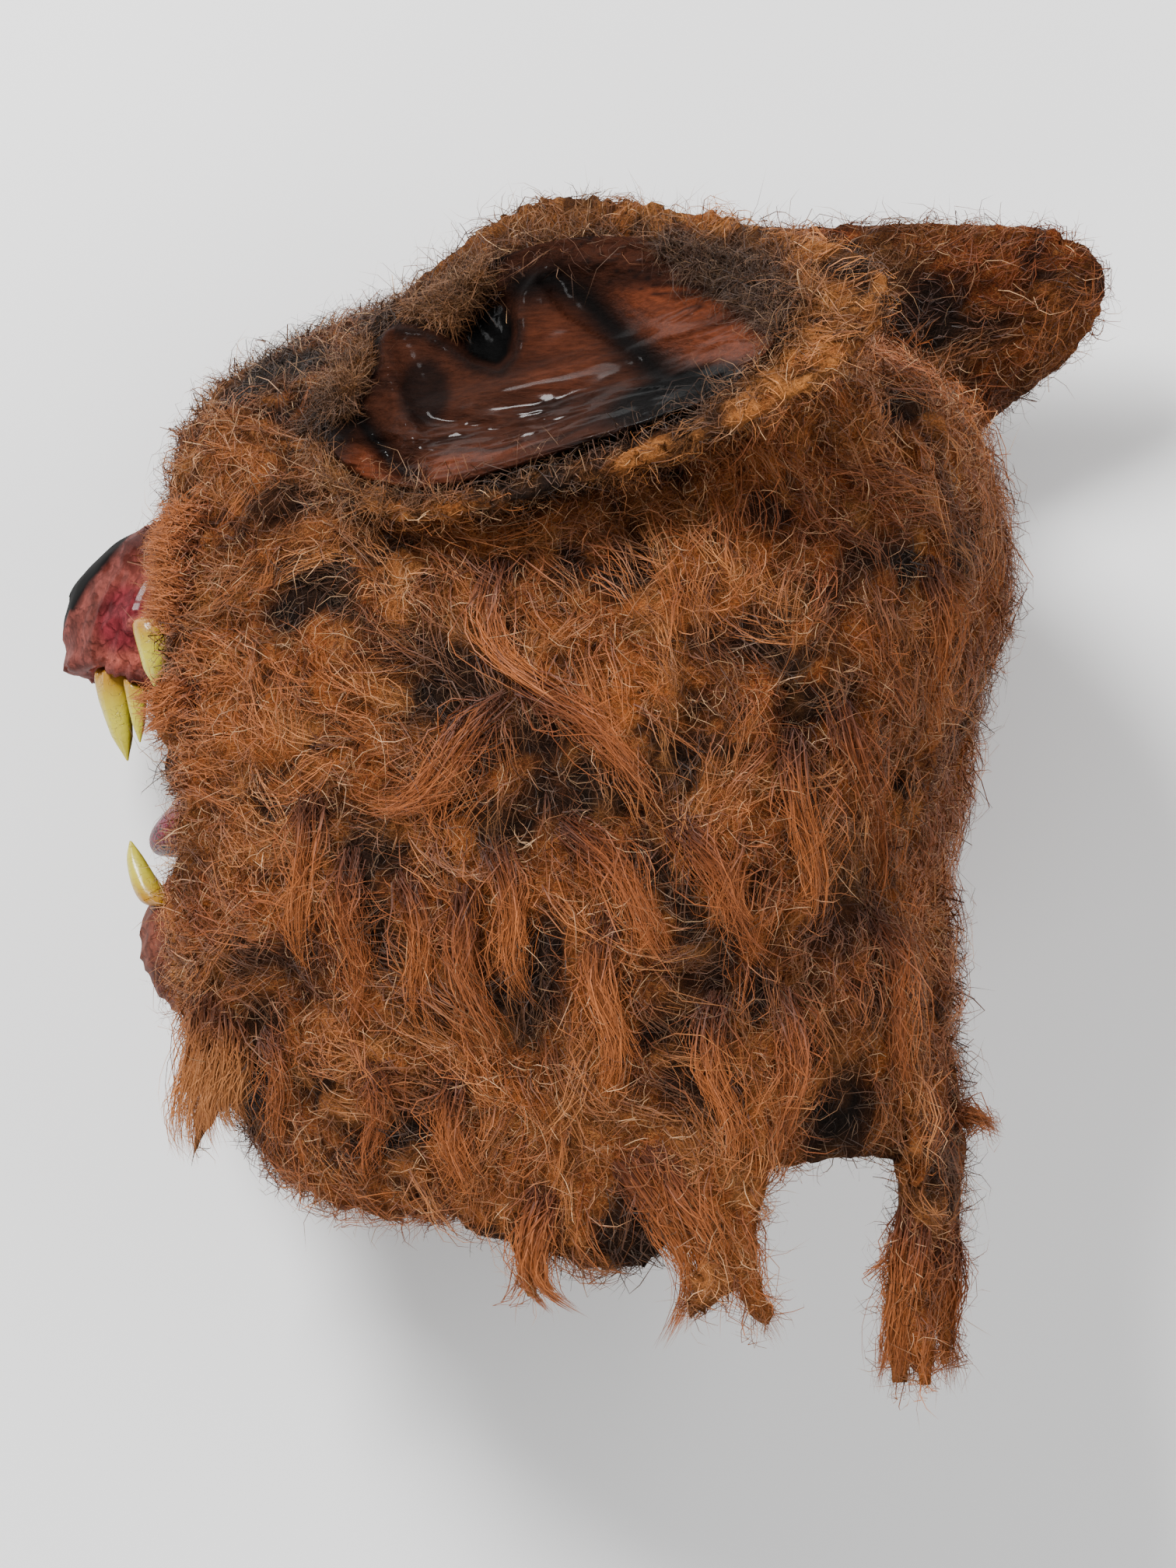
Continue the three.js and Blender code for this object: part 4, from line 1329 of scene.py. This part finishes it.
def within(seen, outline):
    """Which places lie inside a closed outline: a ray from them crosses it an odd number of times."""
    crossed = np.zeros(len(seen), bool)
    for (x1, y1), (x2, y2) in zip(outline, [*outline[1:], outline[0]]):
        spans = (y1 > seen[:, 1]) != (y2 > seen[:, 1])
        slope = (x2 - x1) / (y2 - y1) if y2 != y1 else 0.0
        crossed ^= spans & (seen[:, 0] < x1 + (seen[:, 1] - y1) * slope)
    return crossed


def beyond(seen, line, closing):
    """Distance from a line, negative on the side that the closing points lie on, and the line's share."""
    distance, share = to_line(seen, line)
    return np.where(within(seen, [*line, *closing]), -distance, distance), share


def soft_line(seen, line, width):
    """1 on a line, falling to 0 over its width in picture pixels."""
    return np.exp(-(to_line(seen, line)[0] / width) ** 2)


# %% [markdown]
# The ear's features. The fold starts at a knob at the front, dips to a notch and climbs the wall of the
# concha. In front of the fold the leather stands high, and behind it lies a hollow, painted black as shade.
# %% Features of the near ear
EAR_FOLD = [(486, 470), (484, 440), (492, 424), (508, 417), (548, 422), (582, 443), (611, 464), (641, 472),
            (656, 457), (662, 430), (660, 401), (664, 376), (684, 352), (717, 338)]
EAR_FUR_EDGE = [(450, 530), (480, 475), (482, 440), (492, 418), (519, 410), (560, 418), (580, 428),
                (592, 404), (612, 384), (632, 366), (628, 350), (645, 330), (677, 309), (716, 292)]
EAR_FRONT_CORNERS = [(716, 240), (350, 240), (350, 560)]
EAR_UPPER_EDGE = [(716, 292), (748, 291), (795, 300), (835, 313), (874, 345), (914, 377), (954, 402),
                  (985, 427), (1004, 450)]
EAR_UPPER_CORNERS = [(1090, 450), (1090, 240), (716, 240)]
EAR_FOLD_TOP = [(664, 376), (684, 352), (717, 336), (765, 332), (812, 344)]
EAR_SHADE = [(668, 366), (712, 358), (748, 380), (786, 418), (826, 458), (858, 494), (915, 500)]
EAR_SHEEN = [(815, 385), (850, 418), (890, 432), (940, 448), (990, 455)]
EAR_FRONT_RIDGE = [(492, 432), (502, 475), (514, 520), (530, 560)]
EAR_SLOT = [(418, 540), (462, 540), (487, 572), (506, 598), (532, 612)]
EAR_LOBE = [(441, 566), (452, 600), (480, 628), (522, 638), (566, 637)]
EAR_LOWER_ROLL = [(520, 560), (600, 590), (700, 580), (800, 548), (900, 505)]
EAR_BANDS = [(540, 536), (640, 552), (740, 552), (830, 530), (930, 490)]
EAR_INNER_HELIX = [(560, 440), (592, 398), (640, 372), (664, 350)]
# How far each line stands out from the leather (or is sunk in it) in millimetres, and its width in pixels.
EAR_LINES = (
    (EAR_FOLD_TOP, 1.6, 12), (EAR_INNER_HELIX, 2.0, 9), (EAR_SHADE, -3.4, 30), (EAR_SHEEN, 2.4, 22),
    (EAR_FRONT_RIDGE, 3.5, 16), (EAR_SLOT, -5, 15), (EAR_LOBE, 4.5, 18), (EAR_LOWER_ROLL, 2.5, 20),
    (EAR_BANDS, -1.4, 9),
)
# Where the black shading lets the orange latex through, and how much: ovals as for the dark places.
EAR_WARM = (
    (1.0, (890, 420, 110, 44, 20)), (0.8, (620, 615, 130, 40, -8)), (1.0, (480, 610, 46, 34, 20)),
    (0.35, (720, 450, 60, 60, 0)),
)
# Ovals of black shading, and how black each is; the second table is painted shade in the hollow, ending at
# the fold.
EAR_BLACK = (
    (1.0, (870, 508, 110, 32, -18)), (0.5, (700, 590, 150, 16, -14)), (0.8, (545, 505, 34, 46, 0)),
    (0.9, (430, 520, 40, 62, 0)), (0.45, (700, 350, 60, 16, -15)),
)
EAR_HOLLOW_SHADE = ((1.0, (630, 436, 36, 50, 15)), (0.6, (606, 400, 40, 40, 15)))
EAR_GLOSSY = ((900, 440, 120, 40, 15), (690, 556, 210, 56, -10))
EAR_HOLLOW = (622, 424, 44, 54, 20)
EAR_LOWER_PART = (690, 556, 210, 50, -10)
EAR_LOWER_STREAKS = (700, 545, 180, 36, -8)
EAR_UPPER_STREAKS = (800, 340, 160, 52, 20)
EAR_DARK_FUR = (652, 322, 36, 20, -35)
EAR_DARK_FUR_BEHIND = (690, 740)
# Where the leather is wrinkled: above the first and below the second place across the ear, and behind the
# third along it. Each place is a range, over which the wrinkles come or go.
WRINKLED_ABOVE, WRINKLED_BELOW, WRINKLED_BEHIND = (520, 545), (655, 690), (690, 760)
WAVY_BEFORE, WAVY_BELOW = (500, 540), (450, 490)
EAR_AXIS = math.radians(-14)
# The grain's size along the ear and across it, in pixels, and the number that its random values start from.
EAR_GRAIN = (75, 8.5, 4)


def along_ear(seen):
    """Picture places turned so that the first runs along the ear and the second across it."""
    along = seen[:, 0] * math.cos(EAR_AXIS) + seen[:, 1] * math.sin(EAR_AXIS)
    across = seen[:, 1] * math.cos(EAR_AXIS) - seen[:, 0] * math.sin(EAR_AXIS)
    return along, across, across + 8 * grain(along, across, 60, 30, 3)


def ear_overlap(seen):
    """1 where fur overlaps the leather, in front of the ear and along its upper edge."""
    edges = ((EAR_FUR_EDGE, EAR_FRONT_CORNERS), (EAR_UPPER_EDGE, EAR_UPPER_CORNERS))
    return np.max([1 - smooth_step(beyond(seen, *edge)[0], -7, 1) for edge in edges], axis=0)


def ear_relief(seen):
    """How far the leather stands out towards the viewer, in millimetres."""
    along, across, warped = along_ear(seen)
    near, share = beyond(seen, EAR_FOLD, EAR_FRONT_CORNERS)
    strength = 1 - smooth_step(share, 0.86, 1.0)
    raised = smooth_step(near, -9, 10) * np.exp(-np.maximum(near, 0) / 70) * strength
    hollow = inside(seen, *EAR_HOLLOW) * (1 - smooth_step(near, -8, 4))
    relief = 9.5 * raised - 6.0 * hollow
    relief += 1.6 * hollow * grain(seen[:, 0] + seen[:, 1], seen[:, 0] - 0.6 * seen[:, 1], 60, 9, 16)
    for line, height, width in EAR_LINES:
        relief += height * soft_line(seen, line, width)
    relief += 0.5 * grain(along, warped, 110, 6, 17) * inside(seen, *EAR_LOWER_PART)
    folds = 1 - np.abs(grain(along, warped, *EAR_GRAIN))
    wrinkled = np.maximum(smooth_step(across, *WRINKLED_BELOW), 1 - smooth_step(across, *WRINKLED_ABOVE))
    wrinkled = np.maximum(wrinkled * smooth_step(near, 0, 20), smooth_step(along, *WRINKLED_BEHIND))
    relief += 1.5 * folds ** 3 * (0.12 + 0.88 * wrinkled)
    relief += 0.7 * grain(along, warped, 26, 5, 5) * (0.1 + wrinkled)
    front = (1 - smooth_step(seen[:, 0], *WAVY_BEFORE)) * smooth_step(seen[:, 1], *WAVY_BELOW)
    wavy = grain(seen[:, 0] + 0.5 * seen[:, 1], seen[:, 1] - 0.3 * seen[:, 0], 30, 9, 6)
    relief += 1.6 * wavy * front
    tufts = 3.5 + 2.0 * grain(seen[:, 0], seen[:, 1], 22, 16, 7)
    return relief + tufts * ear_overlap(seen) - 1.5 * soft_line(seen, EAR_FUR_EDGE, 7)


def ear_paint(seen):
    """Colour of the leather, with painted shade in the hollow behind the fold and in the slot, and its
    gloss from 0 to 1.
    """
    along, across, warped = along_ear(seen)
    near, share = beyond(seen, EAR_FOLD, EAR_FRONT_CORNERS)
    warm = np.max([strength * inside(seen, *place) for strength, place in EAR_WARM], axis=0)
    colour = blended(all_over(LATEX_BROWN, len(seen)), LATEX_ORANGE, 0.8 * warm)
    notch = 1 - smooth_step(near, -6, 6)
    streaks = 1 - smooth_step(np.abs(grain(along, warped, *EAR_GRAIN)), 0.0, 0.18)
    shades = (
        *(strength * inside(seen, *place) for strength, place in EAR_BLACK),
        # painted shade in the hollow behind the fold
        *(strength * inside(seen, *place) * notch for strength, place in EAR_HOLLOW_SHADE),
        0.97 * soft_line(seen, EAR_SHADE, 30),
        # painted shade in the slot
        0.97 * soft_line(seen, EAR_SLOT, 17),
        0.97 * soft_line(seen, EAR_FUR_EDGE, 9),
        # painted shade along the back of the fold
        0.8 * np.exp(-((near - 7) / 9) ** 2) * (share > 0.16) * (share < 0.74),
        0.5 * smooth_step(grain(along, across, 90, 26, 9), 0.2, 0.9),
        0.65 * smooth_step(grain(along, warped, 70, 6, 4), 0.0, 0.5) * inside(seen, *EAR_LOWER_STREAKS),
        0.85 * streaks * inside(seen, *EAR_UPPER_STREAKS),
    )
    black = np.clip(np.max(shades, axis=0), 0, 1)
    colour = blended(colour, LATEX_BLACK, black)
    gloss = np.max([inside(seen, *place) for place in EAR_GLOSSY], axis=0)
    return colour, np.clip(0.12 + 0.88 * gloss, 0, 1)


# %% [markdown]
# The grid is laid over the cup in rows along the ear, moved by the relief, and given a wall by Solidify.
# %% The near ear's leather
EAR_ROWS, EAR_COLUMNS = 156, 86
FAR_EAR_ROWS, FAR_EAR_COLUMNS = 60, 40
EAR_CUP = 16
EAR_CREASE = 4
EAR_WALL = 1.6 * MM
EAR_RAISE = 1.2


def ear_sheet(ear, name, rows, columns, relief=None):
    """A grid laid over an ear's cup, with a relief that calms down at its edge."""
    bpy.ops.mesh.primitive_grid_add(x_subdivisions=columns, y_subdivisions=rows, size=2)
    piece = bpy.context.object
    piece.name = name
    flat = corners(piece)
    lengthwise = np.sin(flat[:, 1] * math.pi / 2)
    crosswise = flat[:, 0] * np.sqrt(np.maximum(1 - lengthwise ** 2, 0.004))
    share = (lengthwise + 1) / 2
    width, bow = ear.middle(share)
    depth = EAR_CUP * np.sin(math.pi * np.clip(share, 0.03, 0.97)) * (1 - crosswise ** 2)
    off_fold = (crosswise + 0.25 - 0.5 * share) / 0.16
    crease = EAR_CREASE * np.exp(-off_fold ** 2) * np.sin(math.pi * share)
    local = ear.start + (share * ear.length)[:, None] * ear.ahead
    local = local + (crosswise * width + bow)[:, None] * ear.across
    local = local + (EAR_RAISE - depth + crease)[:, None] * ear.out
    points = to_world(local * ear.mirror * MM)
    if relief:
        edge = np.maximum(np.abs(flat[:, 0]), np.abs(flat[:, 1]))
        calm = 1 - smooth_step(edge, 0.93, 1.0)
        points[:, 2] += relief(in_picture(points)) * calm * MM
    set_corners(piece, points)
    edited(piece, bpy.ops.mesh.normals_make_consistent, inside=False)
    if corner_normals(piece).mean(axis=0) @ ear.turn((0, 0, 1)) < 0:
        edited(piece, bpy.ops.mesh.flip_normals)
    return piece


def walled(piece):
    """Gives a sheet the thickness of moulded latex."""
    apply_modifier(piece, "SOLIDIFY", thickness=EAR_WALL, offset=-1)
    smooth_shaded(piece)


def leather_of(name, size, stretch, depth, shine, coat, crease):
    """Moulded latex: folds of the given size, drawn out by the stretch, and pores, with painted shade in
    fine creases.
    """
    leather = Finish(name)
    fine = leather.noise(1 / size, 6, 0.7, leather.stretched(stretch))
    lines = leather.curls(6 * MM, 0.1) * crease
    pores = leather.noise(1500, 3)
    gloss = leather.attribute("gloss", "Fac")
    # The crease lines are painted a little darker, as shade in the creases.
    tone = leather.between(fine - lines * 0.12, 0.3, 0.7)
    tone = leather.mix(tone, (0.6, 0.56, 0.54), (1.3, 1.25, 1.25))
    return leather.set(
        Base_Color=leather.tinted(leather.attribute("paint"), tone),
        Roughness=0.64 - gloss * 0.36 + fine * 0.1,
        Specular_IOR_Level=shine,
        Coat_Weight=gloss * coat,
        Coat_Roughness=0.13,
        Normal=leather.bump(fine + pores * 0.15 - lines * 0.4, depth, 0.9),
    )


ear_leather = leather_of("ear_leather", 2.0 * MM, (0.3, 1.6, 1.0), 1.2 * MM, 0.06, 0.15, 0.0)
face_leather = leather_of("face_leather", 3.4 * MM, (1.5, 0.7, 1.0), 1.6 * MM, 0.0, 0.16, 1.0)


def give_leather(piece, material, colour, gloss):
    paint_points(piece.data, "paint", colour)
    layer = piece.data.attributes.new("gloss", "FLOAT", "POINT")
    layer.data.foreach_set("value", np.asarray(gloss, np.float32))
    piece.data.materials.append(material)


def give_front_fur(piece):
    """Wool on the faces where fur overlaps the leather, in the brown of the brow."""
    seen = in_picture(corners(piece))
    tone = grain(seen[:, 0], seen[:, 1], 18, 12, 15)
    colour = blended(all_over(BROWN, len(seen)), DARK, smooth_step(tone, -0.2, 0.9))
    colour = blended(colour, DARK, 0.85 * smooth_step(seen[:, 0], *EAR_DARK_FUR_BEHIND))
    colour = blended(colour, DARK, 0.9 * inside(seen, *EAR_DARK_FUR))
    paint_points(piece.data, "fur_colour", colour)
    piece.data.materials.append(wool_material)
    furry = ear_overlap(seen)
    for face in piece.data.polygons:
        if furry[list(face.vertices)].mean() > 0.5:
            face.material_index = 1


def on_front_fur(middle, normal):
    return (ear_overlap(in_picture(middle)) > 0.5) * (normal[:, 2] > 0)


LEATHER_EDGE = (0.98, 1.14)
FRONT_FUZZ = {"count": 6000, "length": 7 * MM, "width": 0.2 * MM, "bleach": 0.3}
EDGE_FUZZ = {"count": 2600, "length": 11 * MM, "width": 0.2 * MM, "bleach": 0.4}


def near_leather_edge(middle, normal):
    """The part of the ear's fur that lies round the edge of the leather."""
    off = EARS["left"].off_middle(middle)
    return (off > LEATHER_EDGE[0]) * (off < LEATHER_EDGE[1]) * (normal[:, 2] > 0)


near_ear = ear_sheet(EARS["left"], "left_ear_leather", EAR_ROWS, EAR_COLUMNS, ear_relief)
give_leather(near_ear, ear_leather, *ear_paint(in_picture(corners(near_ear))))
give_front_fur(near_ear)
near_wool = ear_pieces["left"][0]
front_fuzz = fuzz("left_ear_front_fuzz", near_ear, on_front_fur, draw, **FRONT_FUZZ)
edge_fuzz = fuzz("left_ear_edge_fuzz", near_wool, near_leather_edge, draw, **EDGE_FUZZ)
walled(near_ear)
print("near ear faces:", len(near_ear.data.polygons))

far_ear = ear_sheet(EARS["right"], "right_ear_leather", FAR_EAR_ROWS, FAR_EAR_COLUMNS)
far_points = corners(far_ear)
far_shade = smooth_step(waves(far_points, 30 * MM, 31), -0.3, 1.0) * 0.8
far_colour = blended(all_over(LATEX_BROWN, len(far_points)), LATEX_BLACK, far_shade)
give_leather(far_ear, ear_leather, far_colour, np.full(len(far_points), 0.5))
walled(far_ear)
print("far ear faces:", len(far_ear.data.polygons))

# %% [markdown]
# The moulded head is cut in two behind the mouth. The front is remeshed finely, so that nose, lips and the
# wrinkles of the snarl can be raised on it, and the rear, which the fur hides, keeps the solid's faces. The
# features are given for the side in the photograph and mirrored by taking the distance from the middle.
# %% The head's latex
MUZZLE_CUT = -94
MUZZLE_VOXEL = 1.9 * MM
MUZZLE_ROUNDS = 12
REAR_SMOOTH_ANGLE = math.radians(40)
NOSE_AT, NOSE_SIZE = np.array([-170, 63, 0]), np.array([13, 12, 17])
NOSTRIL_AT, NOSTRIL_SIZE = np.array([-179, 61, 8]), np.array([7, 4, 4])
MOUTH_AT, MOUTH_SIZE = np.array([-154, 9, 0]), np.array([76, 34, 45])
ARCH_AT, ARCH_SIZE = np.array([-160, 20, 0]), np.array([34, 24, 60])
BRIDGE_LINE = [(89, 787), (110, 748), (134, 722), (180, 667), (215, 600)]
BRIDGE_CORNERS = [(20, 600), (20, 787)]
UPPER_LIP = [(85, 850), (100, 862), (122, 868)]
GUM_LINE = [(128, 858), (142, 848), (166, 846), (200, 846)]
CHEEK_FANG_ROOT = (192, 802, 24, 12)
SNOUT_BLUSH = (160, 796, 34, 44, 10)
CHIN_STRIPE = (200, 1262, 26, 20, 0)


def cut_head(name, front):
    """The part of the moulded head in front of the cut, or the one behind it, closed at the cut."""
    piece = joined_copy("latex_head", name)
    edited(
        piece, bpy.ops.mesh.bisect, plane_co=to_world(np.array([MUZZLE_CUT, 0, 0]) * MM), plane_no=BACK,
        use_fill=True, clear_outer=front, clear_inner=not front,
    )
    return piece


def mirrored(points):
    """Places in the head's frame in millimetres, and where their mirrored twins show in the picture."""
    head = to_head(points)
    head[:, 2] = np.abs(head[:, 2])
    return head / MM, in_picture(to_world(head))


def ball(head, at, size):
    """Distance from a ball's middle in shares of its size: 1 on its surface."""
    return np.linalg.norm((head - at) / size, axis=1)


def off_eye(head):
    """Distance from the middle of the eye hole, in millimetres."""
    return np.hypot(head[:, 1] - EYE_AT[0], head[:, 2] - EYE_AT[1])


def face_parts(head, seen):
    """How much a place belongs to the nose, the snout, the lower lip and the inside of the mouth."""
    nose = 1 - smooth_step(ball(head, NOSE_AT, NOSE_SIZE), 1.1, 1.25)
    bridge = 1 - smooth_step(beyond(seen, BRIDGE_LINE, BRIDGE_CORNERS)[0], 6, 12)
    bridge = bridge * (head[:, 1] > 60) * (head[:, 2] < 24)
    snout = smooth_step(head[:, 1], 33, 40) * (1 - smooth_step(head[:, 1], 92, 110))
    lower = 1 - smooth_step(head[:, 1], -18, 2)
    inner = [np.abs(ball(head, *part) - 1) for part in ((MOUTH_AT, MOUTH_SIZE), (ARCH_AT, ARCH_SIZE))]
    lining = 1 - smooth_step(np.min(inner, axis=0), 0.04, 0.09)
    lining = lining * smooth_step(head[:, 0], -150, -140)
    return np.maximum(nose, bridge), snout, lower, lining


def muzzle_relief(head, seen):
    """How far the wrinkles of the snarl, nose, lips and brow stand out, in millimetres."""
    nose, snout, lower, lining = face_parts(head, seen)
    skew = seen[:, 0] + 0.4 * seen[:, 1]
    steep = seen[:, 0] + 0.5 * seen[:, 1] + 5 * grain(seen[:, 0], seen[:, 1], 30, 40, 22)
    folds = 1 - np.abs(grain(seen[:, 1], skew + 9 * grain(seen[:, 1], skew, 60, 40, 25), 55, 15, 21))
    small = grain(seen[:, 1] - 0.4 * seen[:, 0], skew, 20, 7, 23)
    relief = (1.5 * folds ** 2 + 0.4 * small) * snout * (1 - nose)
    relief += (1.2 * (1 - np.abs(grain(seen[:, 1], steep, 45, 8, 24))) ** 2) * lower * (1 - lining)
    relief += 1.2 * nose + 1.2 * soft_line(seen, UPPER_LIP, 9) * snout - 1.2 * soft_line(seen, GUM_LINE, 6)
    relief += 3.5 * inside(seen, *CHEEK_FANG_ROOT) * snout
    relief -= 3.0 * (1 - smooth_step(ball(head, NOSTRIL_AT, NOSTRIL_SIZE), 0.6, 1.1))
    brow = np.exp(-((off_eye(head) - EYE_RADIUS - 4) / 3.5) ** 2)
    brow *= (head[:, 0] < -100) * (head[:, 1] > 70)
    frown = 1 - np.abs(grain(head[:, 2] + 0.5 * head[:, 1], head[:, 1], 26, 7, 26))
    face = (head[:, 0] > -150) * smooth_step(head[:, 1], 66, 78) * (1 - smooth_step(head[:, 1], 110, 125))
    return relief + 1.5 * brow + 1.4 * frown ** 2 * face


def muzzle_paint(head, seen):
    """Colour of the latex, coat over coat, and its gloss from 0 to 1."""
    nose, snout, lower, lining = face_parts(head, seen)
    stripe = inside(seen, *CHIN_STRIPE) * lower * smooth_step(head[:, 2], 14, 26)
    mottled = smooth_step(grain(seen[:, 1], seen[:, 0], 30, 12, 27), 0.1, 0.9) * snout
    gum = np.maximum(soft_line(seen, GUM_LINE, 8), 0.7 * inside(seen, *CHEEK_FANG_ROOT))
    coats = (
        (SNOUT_PINK, snout * 0.95),
        (DEEP_PINK, 0.75 * inside(seen, *SNOUT_BLUSH) * snout),
        (LIP_BROWN, lower * 0.85),
        (DARK, 0.85 * stripe),
        (DARK, 0.5 * mottled),
        (LATEX_BLACK, (1 - smooth_step(off_eye(head), EYE_RADIUS, EYE_RADIUS + 12)) * 0.9),
        (GUM_PINK, np.clip(gum, 0, 1) * snout * 0.9),
        (MOUTH_RED, lining),
        (LATEX_BLACK, nose),
    )
    colour = all_over(LATEX_BROWN, len(head))
    for paint, share in coats:
        colour = blended(colour, paint, share)
    return colour, (0.4 + 0.4 * np.maximum(snout, lower)) * (1 - 0.35 * nose)


muzzle = remeshed(cut_head("muzzle", True), MUZZLE_VOXEL, MUZZLE_ROUNDS)
muzzle_head, muzzle_seen = mirrored(corners(muzzle))
raised = muzzle_relief(muzzle_head, muzzle_seen) * MM
set_corners(muzzle, corners(muzzle) + corner_normals(muzzle) * raised[:, None])
give_leather(muzzle, face_leather, *muzzle_paint(muzzle_head, muzzle_seen))
print("muzzle faces:", len(muzzle.data.polygons))

rear_head = cut_head("rear_head", False)
rear_places, rear_seen = mirrored(corners(rear_head))
give_leather(rear_head, face_leather, *muzzle_paint(rear_places, rear_seen))
only(rear_head)
bpy.ops.object.shade_smooth_by_angle(angle=REAR_SMOOTH_ANGLE)
print("rear head faces:", len(rear_head.data.polygons))

# %% [markdown]
# Teeth are hard plastic, cast with an amber root and with a few brown cracks. Each is its solid, rounded by
# two rounds of subdivision and then swelled a little, because rounding makes a small solid thinner. Where
# the amber lies follows from how far a point is from the tooth's tip.
# %% Teeth
AMBER_SHARE = 0.42
TOOTH_SWELL = 0.6 * MM
UPPER_FANG_SWELL = 1.5 * MM
SWELL_WAYS = (1.0, 0.2, 1.0)  # a tooth swells in girth, and hardly in length
SHARP_SHARE = 0.3


def tooth_material():
    tooth = Finish("tooth")
    fine = tooth.noise(500, 3)
    cracks = tooth.noise(160, 2, 0.5, tooth.stretched((1.0, 2.2, 1.0)))
    crack = 1 - tooth.between(cracks.off(0.5), 0.0, 0.012)
    return tooth.set(
        Base_Color=tooth.mix(crack * 0.5, tooth.attribute("paint"), tuple(TOOTH_AMBER * 0.35)),
        Roughness=0.3 + fine * 0.12,
        Coat_Weight=0.2,
        Coat_Roughness=0.12,
        Normal=tooth.bump(fine - crack * 0.6, 0.5 * MM, 0.5),
    )


def subdivided(piece):
    apply_modifier(piece, "SUBSURF", levels=2, render_levels=2)


def enamel(node, material):
    """A tooth: its solid rounded and swelled, amber at the root and yellow at the tip."""
    piece = joined_copy(node, f"{node}_enamel")
    subdivided(piece)
    upper = node.startswith("upper")
    swell = UPPER_FANG_SWELL if upper and "fang" in node else TOOTH_SWELL
    points = corners(piece)
    height = points[:, 1] if upper else -points[:, 1]
    share = (height - height.min()) / (height.max() - height.min())
    swell = swell * smooth_step(share, 0.0, SHARP_SHARE)[:, None]
    set_corners(piece, points + corner_normals(piece) * SWELL_WAYS * swell)
    amber = smooth_step(share, AMBER_SHARE, 1.0)
    colour = blended(all_over(TOOTH_YELLOW, len(points)), TOOTH_AMBER, amber * 0.9)
    paint_points(piece.data, "paint", colour)
    piece.data.materials.append(material)
    smooth_shaded(piece)
    return piece


enamel_finish = tooth_material()
teeth = {node: enamel(node, enamel_finish) for node in NODES if "fang" in node or "tooth" in node}
print("teeth:", len(teeth))

# %% [markdown]
# The tongue is a wet, dark pink pad with small bumps and black specks, with a groove along its middle.
# %% Tongue
GROOVE_WIDTH = 3.0
GROOVE_DEPTH = 1.6 * MM

tongue = joined_copy("tongue", "tongue_skin")
subdivided(tongue)
off_groove = to_head(corners(tongue))[:, 2] / MM / GROOVE_WIDTH
groove = np.exp(-off_groove ** 2) * (corner_normals(tongue)[:, 1] > 0.3)
set_corners(tongue, corners(tongue) - UP * (GROOVE_DEPTH * groove)[:, None])
smooth_shaded(tongue)
tongue_finish = Finish("tongue")
papillae = tongue_finish.noise(900, 2)
speck = tongue_finish.between(tongue_finish.noise(650, 2, 0.5), 0.53, 0.6)
tongue.data.materials.append(tongue_finish.set(
    Base_Color=tongue_finish.mix(speck, tuple(TONGUE_PINK), tuple(DARK)),
    Roughness=0.36,
    Specular_IOR_Level=0.3,
    Normal=tongue_finish.bump(papillae, 1.2 * MM, 0.7),
))
print("tongue faces:", len(tongue.data.polygons))

# %% [markdown]
# Each piece now rides on the mask's one body, and the solid it stands for is hidden. The hood's backing has
# done
# its work and goes: the wool is its raised copy.
# %% Riding and replacing
bpy.data.objects.remove(hood_backing)


def settle(piece, node):
    """Puts a piece on the body, and hides the solid that it stands for."""
    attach(piece, "root")
    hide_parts(node)


for piece in [hood_wool, *hood_fur]:
    settle(piece, "fur_hood")
for side, pieces in ear_pieces.items():
    for piece in pieces:
        settle(piece, f"{side}_ear_fur")
for piece in (front_fuzz, edge_fuzz):
    settle(piece, "left_ear_fur")
for piece, node in ((near_ear, "left_ear"), (far_ear, "right_ear"), (muzzle, "latex_head"),
                    (rear_head, "latex_head")):
    settle(piece, node)
settle(tongue, "tongue")
for node, piece in teeth.items():
    settle(piece, node)
triangles = {}
for piece in bpy.context.scene.objects:
    if piece.type == "MESH" and piece.name not in NODES:
        piece.data.calc_loop_triangles()
        triangles[piece.name] = len(piece.data.loop_triangles)
print("triangles in all:", sum(triangles.values()), triangles)
